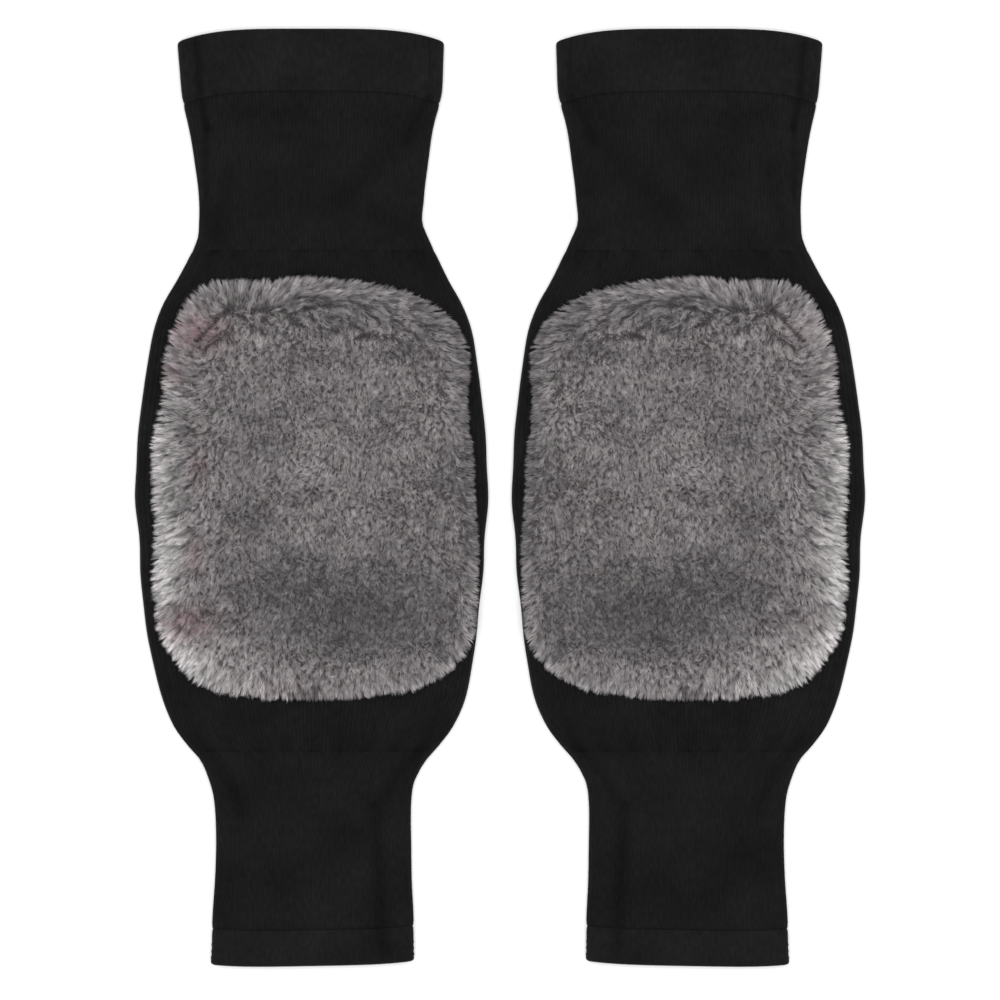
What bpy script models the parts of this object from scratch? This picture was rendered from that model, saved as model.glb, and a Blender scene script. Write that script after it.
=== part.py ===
"""A pair of knitted knee warmers with a fur patch on each knee, laid flat side by side.

Each warmer is a tapered knit tube in five stretches: a doubled band at the thigh, a thigh rib, a
fuller knee tube, a calf rib and a doubled hem. It lies on its back, so its front cloth lies on its
back cloth, and the tube folds over at both sides. The fur patch lies on the front of the knee.
The two are mirror images. X runs across the pair, Y up the leg, and Z up from the surface under it.
"""

from typing import NamedTuple

import bmesh
import bpy
import math
from mathutils import Vector
from mathutils.bvhtree import BVHTree

MM = 0.001

# Driving dimensions, in millimetres.
LENGTH = 500.0
AXIS_TO_PAIR_MIDDLE = 100.1
SEAM_GAP = 0.3
FOLD_GAP = 1.0  # across the hollow, inside each side fold
SOFT_EDGE = 0.7  # rounding of a doubled band's free edge

# Where one stretch of the tube ends and the next begins, measured up the leg at mid width.
TOP = LENGTH / 2
BAND_SEAM = 217.0
THIGH_SEAM = 131.8
CALF_SEAM = -135.5
HEM_SEAM = -230.5
BOTTOM = -249.6  # at mid width: the hem tilts, and its lowest point is at half the length

KNIT_WALL = 2.2
DOUBLED_WALL = 2.8

# Points round the inside of a tube. The outside has a whole number of times as many.
FRONT_STEPS, FOLD_STEPS, BACK_STEPS = 12, 2, 4


class Station(NamedTuple):
    """How the tube lies at one place up the leg, in millimetres."""

    along: float  # from the middle of the leg, towards the thigh
    half: float  # half the flat width
    lean: float  # how far mid width lies to the right of the warmer's axis
    loft: float  # across the hollow, at mid width


STATIONS = (
    Station(250.0, 70.5, -0.6, 1.3),
    Station(241.0, 70.8, -0.8, 1.2),
    Station(217.0, 69.3, -0.3, 1.0),
    Station(200.0, 65.8, -0.7, 1.0),
    Station(180.0, 62.0, -0.5, 1.0),
    Station(158.0, 59.9, -0.5, 1.0),
    Station(147.0, 59.2, -0.9, 1.1),
    Station(138.0, 61.3, 0.4, 1.3),
    Station(127.0, 66.6, 0.5, 1.6),
    Station(115.0, 72.8, 0.2, 2.0),
    Station(103.0, 79.4, 0.1, 2.3),
    Station(88.0, 84.8, 0.2, 2.6),
    Station(70.0, 87.9, 0.0, 2.8),
    Station(36.0, 92.1, -0.3, 2.8),
    Station(4.0, 93.7, -0.4, 2.8),
    Station(-30.0, 91.5, -0.2, 2.8),
    Station(-60.0, 89.2, -0.5, 2.8),
    Station(-87.0, 85.1, 0.2, 2.6),
    Station(-108.0, 80.2, 0.8, 2.2),
    Station(-122.0, 74.3, 0.6, 1.9),
    Station(-132.0, 66.8, 0.5, 1.6),
    Station(-140.0, 59.8, 0.5, 1.4),
    Station(-150.0, 54.9, -0.2, 1.2),
    Station(-161.0, 52.6, 0.2, 1.0),
    Station(-184.0, 51.7, 0.7, 1.0),
    Station(-214.0, 53.0, 0.4, 1.0),
    Station(-240.0, 53.8, 0.2, 1.1),
    Station(-250.0, 54.5, 0.0, 1.3),
)


class Course(NamedTuple):
    """How a row of knit runs across the tube, in millimetres."""

    along: float
    drop: float  # how much lower the row lies at both folds than at mid width
    tilt: float  # how much higher it lies at the right fold than at mid width


COURSES = (
    Course(250.0, 7.0, 0.0),
    Course(217.0, 7.0, 0.0),
    Course(190.0, 4.5, 0.0),
    Course(160.0, 1.5, 0.0),
    Course(132.0, 0.0, 0.0),
    Course(-136.0, 0.0, 0.0),
    Course(-230.0, -1.4, 0.8),
    Course(-250.0, -1.8, 1.0),
)
DROP_POWER = 4  # a row is nearly straight at mid width and turns down near the folds


class Crease(NamedTuple):
    """A soft trough in the front cloth, from one point to another."""

    start: tuple[float, float]  # across in half widths, along in millimetres
    end: tuple[float, float]
    depth: float
    width: float


CREASES = (
    Crease((-0.88, 244.0), (-0.86, 196.0), 0.8, 3.5),
    Crease((0.92, 214.0), (0.80, 190.0), 0.6, 4.0),
    Crease((0.72, 190.0), (0.22, 156.0), 0.6, 9.0),
    Crease((-0.70, 176.0), (-0.86, 140.0), 0.5, 5.0),
    Crease((-0.86, -140.0), (-0.72, -166.0), 0.7, 4.0),
    Crease((0.90, -134.0), (0.74, -160.0), 0.6, 4.0),
    Crease((0.62, -162.0), (0.70, -240.0), 0.6, 6.0),
    Crease((-0.55, -186.0), (-0.84, -200.0), 0.4, 5.0),
)


class Gather(NamedTuple):
    """A short trough where the full knee tube is drawn into a rib."""

    across: float  # in half widths
    seam: float
    reach: float  # how far it runs into the knee tube; negative runs down the leg
    depth: float


GATHERS = (
    Gather(-0.83, THIGH_SEAM, -24.0, 0.9),
    Gather(-0.61, THIGH_SEAM, -16.0, 0.6),
    Gather(-0.39, THIGH_SEAM, -12.0, 0.5),
    Gather(-0.11, THIGH_SEAM, -13.0, 0.6),
    Gather(0.17, THIGH_SEAM, -12.0, 0.5),
    Gather(0.44, THIGH_SEAM, -16.0, 0.6),
    Gather(0.67, THIGH_SEAM, -20.0, 0.8),
    Gather(0.86, THIGH_SEAM, -28.0, 0.9),
    Gather(-0.86, CALF_SEAM, 34.0, 0.9),
    Gather(-0.67, CALF_SEAM, 28.0, 0.8),
    Gather(-0.44, CALF_SEAM, 24.0, 0.6),
    Gather(-0.22, CALF_SEAM, 20.0, 0.7),
    Gather(0.0, CALF_SEAM, 26.0, 0.8),
    Gather(0.22, CALF_SEAM, 20.0, 0.6),
    Gather(0.44, CALF_SEAM, 26.0, 0.8),
    Gather(0.67, CALF_SEAM, 22.0, 0.7),
    Gather(0.86, CALF_SEAM, 34.0, 0.9),
)
GATHER_WIDTH = 0.07  # in half widths


class Stretch(NamedTuple):
    """One piece of the knit tube."""

    name: str
    top: float
    bottom: float
    wall: float
    rows: int  # rows of outer points, an odd number
    detail: int  # outer points to each inner one
    soft_top: bool = False  # a doubled band's free edge
    soft_bottom: bool = False


STRETCHES = (
    Stretch("top_band", TOP, BAND_SEAM, DOUBLED_WALL, 5, 2, soft_top=True),
    Stretch("thigh_rib", BAND_SEAM, THIGH_SEAM, KNIT_WALL, 11, 2),
    Stretch("knee_tube", THIGH_SEAM, CALF_SEAM, KNIT_WALL, 27, 4),
    Stretch("calf_rib", CALF_SEAM, HEM_SEAM, KNIT_WALL, 11, 2),
    Stretch("hem_band", HEM_SEAM, BOTTOM, DOUBLED_WALL, 5, 2, soft_bottom=True),
)

# The fur patch, in millimetres on the left warmer.
PATCH_MIDDLE = (1.5, 5.3)
PILE = 12.0
RIM_HEIGHT = 4.0  # of the widest reach of the fur over the cloth
DOME_POWER = 5
TURN_STEP = 15.0  # degrees between the rows of the patch's outline
SPOKES = 60
TOP_RINGS = (0.97, 0.90, 0.80, 0.66, 0.50, 0.32, 0.15)
SEWN_RINGS = (0.94, 0.62, 0.30)  # the panel is sewn down inside the fur's reach


class Reach(NamedTuple):
    """How far the fur reaches from the patch's middle in one direction, in millimetres."""

    turn: float  # degrees, anticlockwise from the right
    out: float


PATCH_OUTLINE = (
    Reach(0.0, 85.8),
    Reach(15.0, 88.2),
    Reach(30.0, 95.1),
    Reach(45.0, 111.1),
    Reach(60.0, 116.6),
    Reach(75.0, 112.9),
    Reach(90.0, 112.8),
    Reach(105.0, 116.5),
    Reach(120.0, 122.5),
    Reach(135.0, 109.3),
    Reach(150.0, 94.4),
    Reach(165.0, 89.3),
    Reach(180.0, 86.6),
    Reach(195.0, 88.8),
    Reach(210.0, 98.3),
    Reach(225.0, 113.9),
    Reach(240.0, 121.2),
    Reach(255.0, 115.8),
    Reach(270.0, 113.3),
    Reach(285.0, 114.1),
    Reach(300.0, 120.7),
    Reach(315.0, 115.4),
    Reach(330.0, 98.3),
    Reach(345.0, 89.3),
)


class Parting(NamedTuple):
    """A valley in the pile, above which the fur lies up and below which it lies down."""

    start: tuple[float, float]
    end: tuple[float, float]
    depth: float
    width: float


PARTINGS = (
    Parting((-46.0, 97.0), (30.0, 97.0), 2.4, 7.0),
    Parting((30.0, 97.0), (60.0, 84.0), 2.0, 7.0),
)

KNIT_COLOUR = (0.013, 0.013, 0.014, 1.0)
FUR_COLOUR = (0.22, 0.20, 0.205, 1.0)


def clear_scene():
    """Removes the objects that Blender starts with."""
    for item in list(bpy.data.objects):
        bpy.data.objects.remove(item, do_unlink=True)


def cloth(name, colour, roughness):
    """A plain fabric material."""
    material = bpy.data.materials.new(name)
    material.use_nodes = True
    shader = material.node_tree.nodes["Principled BSDF"]
    shader.inputs["Base Color"].default_value = colour
    shader.inputs["Roughness"].default_value = roughness
    shader.inputs["Metallic"].default_value = 0.0
    return material


def between(table, along):
    """The columns after the first, on a smooth curve through a table that runs down the leg."""
    along = min(max(along, table[-1].along), table[0].along)
    last = len(table) - 1
    low = next(i for i in range(1, last + 1) if table[i].along <= along)
    rows = [table[max(low - 2, 0)], table[low - 1], table[low], table[min(low + 1, last)]]
    span = rows[2].along - rows[1].along
    t = (along - rows[1].along) / span
    found = []
    for before, start, end, after in list(zip(*rows))[1:]:
        leaving = (end - before) / (rows[2].along - rows[0].along) * span
        arriving = (after - start) / (rows[3].along - rows[1].along) * span
        found.append(
            (2 * t**3 - 3 * t**2 + 1) * start
            + (t**3 - 2 * t**2 + t) * leaving
            + (3 * t**2 - 2 * t**3) * end
            + (t**3 - t**2) * arriving
        )
    return found


def trough(valley, x, y, scale=1.0):
    """How deep one valley is at a point, from its distance to the valley's line."""
    start = Vector((valley.start[0] * scale, valley.start[1]))
    way = Vector((valley.end[0] * scale, valley.end[1])) - start
    point = Vector((x, y)) - start
    share = min(max(point.dot(way) / way.length_squared, 0.0), 1.0)
    return valley.depth * math.exp(-(((point - way * share).length / valley.width) ** 2))


def gathered(gather, across, along):
    """How deep one gather is at a point of the knee tube."""
    run = (along - gather.seam) / gather.reach
    if run < 0 or run > 1:
        return 0.0
    return gather.depth * (1 - run) ** 2 * math.exp(-(((across - gather.across) / GATHER_WIDTH) ** 2))


def round_tube(half, fold, radius, crown, detail):
    """(x, z, on the front) of points round a flattened tube: back, left fold, front, right fold."""
    flat = half - fold
    back, bend, front = (n * detail for n in (BACK_STEPS, FOLD_STEPS, FRONT_STEPS))
    points = [(flat * (1 - 2 * i / back), fold - radius, False) for i in range(back)]
    for i in range(bend):
        turn = math.pi * i / bend
        points.append((-flat - radius * math.sin(turn), fold - radius * math.cos(turn), False))
    for i in range(front + 1):
        across = 2 * i / front - 1
        points.append((flat * across, fold + radius + crown * (1 - across**2) ** 2, True))
    for i in range(1, bend):
        turn = math.pi * i / bend
        points.append((flat + radius * math.sin(turn), fold + radius * math.cos(turn), False))
    return points


def row_of_points(stretch, along, outside, soften, detail):
    """One row of points round a stretch of tube, in millimetres in the warmer's own frame."""
    drop, tilt = between(COURSES, along)
    half, lean, loft = between(STATIONS, along - drop)
    fold = stretch.wall + FOLD_GAP / 2
    radius = fold - soften if outside else FOLD_GAP / 2 + soften
    points = []
    for x, z, on_front in round_tube(half, fold, radius, loft - FOLD_GAP, detail):
        across = x / half
        y = along - drop * abs(across) ** DROP_POWER + tilt * across
        if outside and on_front:
            z -= sum(trough(crease, x, y, half) for crease in CREASES)
            if stretch.name == "knee_tube":
                z -= sum(gathered(gather, across, along) for gather in GATHERS)
        points.append(Vector((x + lean, y, z)))
    return points


def rows_of(stretch, outside):
    """(place up the leg, softening) of each row of points of a stretch, from its top down."""
    gap = SEAM_GAP / 2
    top = stretch.top - (0 if stretch.soft_top else gap)
    bottom = stretch.bottom + (0 if stretch.soft_bottom else gap)
    count = stretch.rows if outside else (stretch.rows + 1) // 2
    rows = [(top + (bottom - top) * i / (count - 1), 0.0) for i in range(count)]
    if stretch.soft_top:
        rows[0:1] = [(top, SOFT_EDGE), (top - SOFT_EDGE, 0.0)]
    if stretch.soft_bottom:
        rows[-1:] = [(bottom + SOFT_EDGE, 0.0), (bottom, SOFT_EDGE)]
    return rows


def skin(mesh, rows):
    """Faces between each closed row of vertices and the next."""
    for upper, lower in zip(rows, rows[1:]):
        count = len(upper)
        for i in range(count):
            after = (i + 1) % count
            mesh.faces.new((upper[i], upper[after], lower[after], lower[i]))


def close_rim(mesh, outer, inner):
    """Faces from an outer row to the inner one, which has fewer points, at an open end."""
    detail = len(outer) // len(inner)
    for i, near in enumerate(inner):
        far = inner[(i + 1) % len(inner)]
        edge = [outer[(i * detail + k) % len(outer)] for k in range(detail + 1)]
        middle = (detail + 1) // 2
        for k in range(detail):
            mesh.faces.new((near if k < middle else far, edge[k], edge[k + 1]))
        mesh.faces.new((near, edge[middle], far))


def finish_object(name, mesh, material, parent, facing):
    """Makes a bmesh a named object on one warmer: facing is 1 as modelled, -1 for its mirror image."""
    for vertex in mesh.verts:
        vertex.co = Vector((vertex.co.x * facing, vertex.co.y, vertex.co.z)) * MM
    bmesh.ops.recalc_face_normals(mesh, faces=mesh.faces)
    data = bpy.data.meshes.new(name)
    mesh.to_mesh(data)
    mesh.free()
    data.shade_smooth()
    data.set_sharp_from_angle(angle=math.radians(50))
    data.materials.append(material)
    item = bpy.data.objects.new(name, data)
    bpy.context.scene.collection.objects.link(item)
    item.parent = parent
    return item


def knit_stretch(stretch):
    """One stretch of the knit tube: an outer and an inner skin, joined at both ends."""
    mesh = bmesh.new()
    skins = []
    for outside in (True, False):
        detail = stretch.detail if outside else 1
        rows = [
            [mesh.verts.new(p) for p in row_of_points(stretch, along, outside, soften, detail)]
            for along, soften in rows_of(stretch, outside)
        ]
        skin(mesh, rows)
        skins.append(rows)
    close_rim(mesh, skins[0][0], skins[1][0])
    close_rim(mesh, skins[0][-1], skins[1][-1])
    return mesh


def fur_reach(turn):
    """How far the fur reaches in one direction, on a smooth curve through the outline's rows."""
    place = turn / TURN_STEP
    low, t = int(place), place - int(place)
    before, start, end, after = (
        PATCH_OUTLINE[(low + k) % len(PATCH_OUTLINE)].out for k in (-1, 0, 1, 2)
    )
    bend = (2 * before - 5 * start + 4 * end - after) * t**2
    twist = (3 * start - before - 3 * end + after) * t**3
    return (2 * start + (end - before) * t + bend + twist) / 2


def fur_patch(front):
    """The space that the patch's fur fills, over the front of the knee tube."""
    mesh = bmesh.new()

    def place(turn, share):
        """(x, y) of a point that far out from the patch's middle."""
        out = fur_reach(turn) * share
        across = PATCH_MIDDLE[0] + out * math.cos(math.radians(turn))
        return across, PATCH_MIDDLE[1] + out * math.sin(math.radians(turn))

    def vertex(turn, share, height):
        """A vertex there, that high over the knee tube."""
        x, y = place(turn, share)
        under = front.ray_cast(Vector((x, y, LENGTH)), Vector((0, 0, -1)))[0]
        return mesh.verts.new((x, y, under.z + height))

    def pile(turn, share):
        """The fur's height there, lower at the rim and where it parts."""
        parted = max(trough(parting, *place(turn, share)) for parting in PARTINGS)
        return RIM_HEIGHT + (PILE - RIM_HEIGHT) * math.sqrt(1 - share**DOME_POWER) - parted

    turns = [360.0 * i / SPOKES for i in range(SPOKES)]
    rings = [[vertex(turn, share, SEAM_GAP) for turn in turns] for share in SEWN_RINGS[::-1]]
    rings.append([vertex(turn, 1.0, RIM_HEIGHT) for turn in turns])
    rings += [[vertex(turn, share, pile(turn, share)) for turn in turns] for share in TOP_RINGS]
    skin(mesh, rings)
    for ring, height in ((rings[0], SEAM_GAP), (rings[-1], pile(0.0, 0.0))):
        middle = vertex(0.0, 0.0, height)
        for i in range(SPOKES):
            mesh.faces.new((middle, ring[i], ring[(i + 1) % SPOKES]))
    return mesh


def build_warmer(label, facing):
    """One warmer: the left one is as modelled, with facing 1, and the right one faces it, with -1."""
    axis = bpy.data.objects.new(label + "_warmer", None)
    axis.location = (-facing * AXIS_TO_PAIR_MIDDLE * MM, 0, 0)
    bpy.context.scene.collection.objects.link(axis)
    for stretch in STRETCHES:
        mesh = knit_stretch(stretch)
        if stretch.name == "knee_tube":
            front = BVHTree.FromBMesh(mesh)
        finish_object(f"{label}_{stretch.name}", mesh, KNIT, axis, facing)
    finish_object(f"{label}_fur_patch", fur_patch(front), FUR, axis, facing)


clear_scene()
KNIT = cloth("black_knit", KNIT_COLOUR, 0.9)
FUR = cloth("grey_fur", FUR_COLOUR, 0.95)
build_warmer("left", 1)
build_warmer("right", -1)
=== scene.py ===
"""The looks of a pair of knitted knee warmers with plush knee patches, laid flat side by side.

Each warmer is one run of rib knit, from a doubled band at the thigh to a doubled hem at the calf,
and a panel of grey plush is sewn on the front of its knee. The knit is modelled rib by rib on the
form of its CAD tube, and the plush as locks of fibres on a dense bed of pile. The right warmer
mirrors the left one, with a fainter pink tinge. Lengths are in millimetres until a mesh is made.
"""

import logging
import math
from dataclasses import dataclass
from enum import Enum
from functools import partial
from typing import NamedTuple

import bpy
import numpy as np
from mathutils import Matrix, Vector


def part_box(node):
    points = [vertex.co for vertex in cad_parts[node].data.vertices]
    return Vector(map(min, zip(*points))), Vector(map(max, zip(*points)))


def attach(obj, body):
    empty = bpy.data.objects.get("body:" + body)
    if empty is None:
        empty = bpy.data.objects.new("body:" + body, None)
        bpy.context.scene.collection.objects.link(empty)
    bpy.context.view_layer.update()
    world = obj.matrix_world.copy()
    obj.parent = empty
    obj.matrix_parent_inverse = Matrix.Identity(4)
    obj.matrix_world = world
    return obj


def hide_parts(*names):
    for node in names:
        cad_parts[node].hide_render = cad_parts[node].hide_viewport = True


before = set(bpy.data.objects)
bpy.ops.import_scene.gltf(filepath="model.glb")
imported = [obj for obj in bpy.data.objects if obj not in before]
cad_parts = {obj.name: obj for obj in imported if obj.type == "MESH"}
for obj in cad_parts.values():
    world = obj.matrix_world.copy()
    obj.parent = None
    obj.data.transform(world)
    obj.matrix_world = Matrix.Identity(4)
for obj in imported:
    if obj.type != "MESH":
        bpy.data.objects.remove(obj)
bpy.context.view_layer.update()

MM = 0.001

logging.basicConfig(level=logging.INFO, format="%(message)s")
log = logging.getLogger("knee_warmers")


class Side(Enum):
    """Which warmer, and which way it faces: the right one mirrors the left one."""

    LEFT = ("left", 1)
    RIGHT = ("right", -1)

    @property
    def label(self) -> str:
        """The side's word in the names of nodes and pieces."""
        return self.value[0]

    @property
    def facing(self) -> int:
        """1 as modelled, -1 mirrored."""
        return self.value[1]


# ------------------------------------------------------------------------------------------------
# Small tools
# ------------------------------------------------------------------------------------------------


def linear(colour: str) -> tuple[float, float, float, float]:
    """Turns an sRGB colour to the linear one that a shader takes.

    Args:
        colour: six hex digits after a hash.

    Returns:
        Red, green, blue and an alpha of 1.
    """
    parts = [int(colour[i : i + 2], 16) / 255 for i in (1, 3, 5)]
    red, green, blue = (p / 12.92 if p <= 0.04045 else ((p + 0.055) / 1.055) ** 2.4 for p in parts)
    return red, green, blue, 1.0


def smooth_step(low: float, high: float, value: np.ndarray) -> np.ndarray:
    """Rises smoothly from 0 at low to 1 at high.

    Args:
        low: where it starts to rise.
        high: where it is 1.
        value: any numbers.

    Returns:
        As many numbers from 0 to 1.
    """
    t = np.clip((value - low) / (high - low), 0.0, 1.0)
    return t * t * (3 - 2 * t)


class Waves(NamedTuple):
    """Soft irregular waves over a surface, the same each run."""

    height: float
    length: float  # the middle wavelength
    seed: int  # picks the pattern

    def at(self, x: np.ndarray, y: np.ndarray) -> np.ndarray:
        """How high the waves are.

        Args:
            x: places across.
            y: places up the leg.

        Returns:
            Numbers from about -height to height.
        """
        draw = np.random.default_rng(self.seed)
        total = np.zeros(np.broadcast(x, y).shape)
        waves, shortest, longest, peak = 7, 0.6, 1.7, 1.2
        for _ in range(waves):
            turn, phase = draw.uniform(0, 2 * math.pi, 2)
            count = 2 * math.pi / (self.length * draw.uniform(shortest, longest))
            total += np.sin((x * math.cos(turn) + y * math.sin(turn)) * count + phase)
        return self.height * (total / math.sqrt(waves) / peak)


def unit(vectors: np.ndarray) -> np.ndarray:
    """The vectors of the last axis, each with a length of 1."""
    return vectors / np.maximum(np.linalg.norm(vectors, axis=-1, keepdims=True), 1e-12)


def read_table(table: tuple, along: np.ndarray) -> np.ndarray:
    """Reads a table that runs down the leg on a smooth curve through its rows.

    Args:
        table: rows whose first column is the place up the leg.
        along: the places to read.

    Returns:
        One array for each further column, shaped as along.
    """
    rows = np.array(table)[::-1]
    keys, values = rows[:, 0], rows[:, 1:]
    slopes = np.empty_like(values)
    slopes[1:-1] = (values[2:] - values[:-2]) / (keys[2:] - keys[:-2])[:, None]
    slopes[0] = (values[1] - values[0]) / (keys[1] - keys[0])
    slopes[-1] = (values[-1] - values[-2]) / (keys[-1] - keys[-2])
    place = np.clip(along, keys[0], keys[-1])
    low = np.clip(np.searchsorted(keys, place, side="right") - 1, 0, len(keys) - 2)
    span = keys[low + 1] - keys[low]
    t, span = ((place - keys[low]) / span)[..., None], span[..., None]
    found = (
        (2 * t**3 - 3 * t**2 + 1) * values[low]
        + (t**3 - 2 * t**2 + t) * slopes[low] * span
        + (3 * t**2 - 2 * t**3) * values[low + 1]
        + (t**3 - t**2) * slopes[low + 1] * span
    )
    return np.moveaxis(found, -1, 0)


@dataclass(frozen=True)
class Skin:
    """A mesh before it is made: points and faces, and what its finish reads.

    Attributes:
        points: (n, 3) places in the left warmer's own frame.
        faces: (m, 3 or 4) points of each face, anticlockwise from outside.
        weave: (m, 3 or 4, 2) place of each corner in the knit or on the lock, or None.
        facts: numbers for each point, by name.
    """

    points: np.ndarray
    faces: np.ndarray
    weave: np.ndarray | None = None
    facts: dict[str, np.ndarray] | None = None


def closed_grid(rows: int, columns: int) -> list[tuple[np.ndarray, np.ndarray]]:
    """The faces of a grid of points that closes on itself both ways.

    Args:
        rows: of points.
        columns: of points.

    Returns:
        For each of a face's four corners, the row and the column that it is from.
    """
    row, column = np.indices((rows, columns))
    after, beside = (row + 1) % rows, (column + 1) % columns
    return [(row, column), (after, column), (after, beside), (row, beside)]


def add_object(
    name: str, data: bpy.types.ID, at: tuple[float, float, float] = (0.0, 0.0, 0.0)
) -> bpy.types.Object:
    """Puts a mesh, light or camera in the scene.

    Args:
        name: the object's name.
        data: the mesh, light or camera.
        at: where it goes, in millimetres.

    Returns:
        The new object.
    """
    thing = bpy.data.objects.new(name, data)
    thing.location = [value * MM for value in at]
    bpy.context.scene.collection.objects.link(thing)
    return thing


def make_piece(
    name: str, skin: Skin, side: Side, axis: float, finish: bpy.types.Material
) -> bpy.types.Object:
    """Makes a mesh object that rides on the part.

    Args:
        name: the piece's name after its side.
        skin: the mesh on the left warmer.
        side: which warmer it is for.
        axis: how far the warmer's axis lies from the pair's middle.
        finish: its material.

    Returns:
        The new object, in the scene.
    """
    points = skin.points * (side.facing, 1, 1) - (side.facing * axis, 0, 0)
    turned = slice(None, None, side.facing)
    faces = skin.faces[:, turned]
    mesh = bpy.data.meshes.new(f"{side.label}_{name}")
    mesh.vertices.add(len(points))
    mesh.vertices.foreach_set("co", (points * MM).astype(np.float32).ravel())
    mesh.loops.add(faces.size)
    mesh.loops.foreach_set("vertex_index", faces.astype(np.int32).ravel())
    mesh.polygons.add(len(faces))
    mesh.polygons.foreach_set("loop_start", np.arange(0, faces.size, faces.shape[1], dtype=np.int32))
    mesh.update(calc_edges=True)
    if skin.weave is not None:
        layer = mesh.uv_layers.new(name="weave")
        layer.uv.foreach_set("vector", skin.weave[:, turned].astype(np.float32).ravel())
    for fact, values in (skin.facts or {}).items():
        mesh.attributes.new(fact, "FLOAT", "POINT").data.foreach_set("value", values.astype(np.float32))
    mesh.shade_smooth()
    mesh.materials.append(finish)
    piece = add_object(mesh.name, mesh)
    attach(piece, "root")
    return piece


def add_node(
    tree: bpy.types.NodeTree, kind: str, settings: dict | None = None, **links: object
) -> bpy.types.Node:
    """Adds a node to a material.

    Args:
        tree: the material's nodes.
        kind: the node's type after ShaderNode.
        settings: values for the node's own properties.
        links: for each input, a value, an output to link, or a node whose first output is linked;
            an input of the same name as another is given by its place, as in input_1.

    Returns:
        The new node.
    """
    node = tree.nodes.new(f"ShaderNode{kind}")
    for key, value in (settings or {}).items():
        setattr(node, key, value)
    for key, value in links.items():
        socket = node.inputs[int(key[6:]) if key.startswith("input_") else key.replace("_", " ")]
        if isinstance(value, bpy.types.Node):
            value = value.outputs[0]
        if isinstance(value, bpy.types.NodeSocket):
            tree.links.new(value, socket)
        else:
            socket.default_value = value
    return node


def new_material(
    name: str, **settings: object
) -> tuple[bpy.types.Material, bpy.types.NodeTree, bpy.types.Node]:
    """Starts a material, and sets what is the same all over it on its shader.

    Args:
        name: the material's name.
        settings: values for the shader's inputs, with _ for each space.

    Returns:
        The material, its nodes and its shader.
    """
    material = bpy.data.materials.new(name)
    material.use_nodes = True
    shader = material.node_tree.nodes["Principled BSDF"]
    for key, value in settings.items():
        shader.inputs[key.replace("_", " ")].default_value = value
    return material, material.node_tree, shader


# ------------------------------------------------------------------------------------------------
# Finishes
# ------------------------------------------------------------------------------------------------


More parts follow.
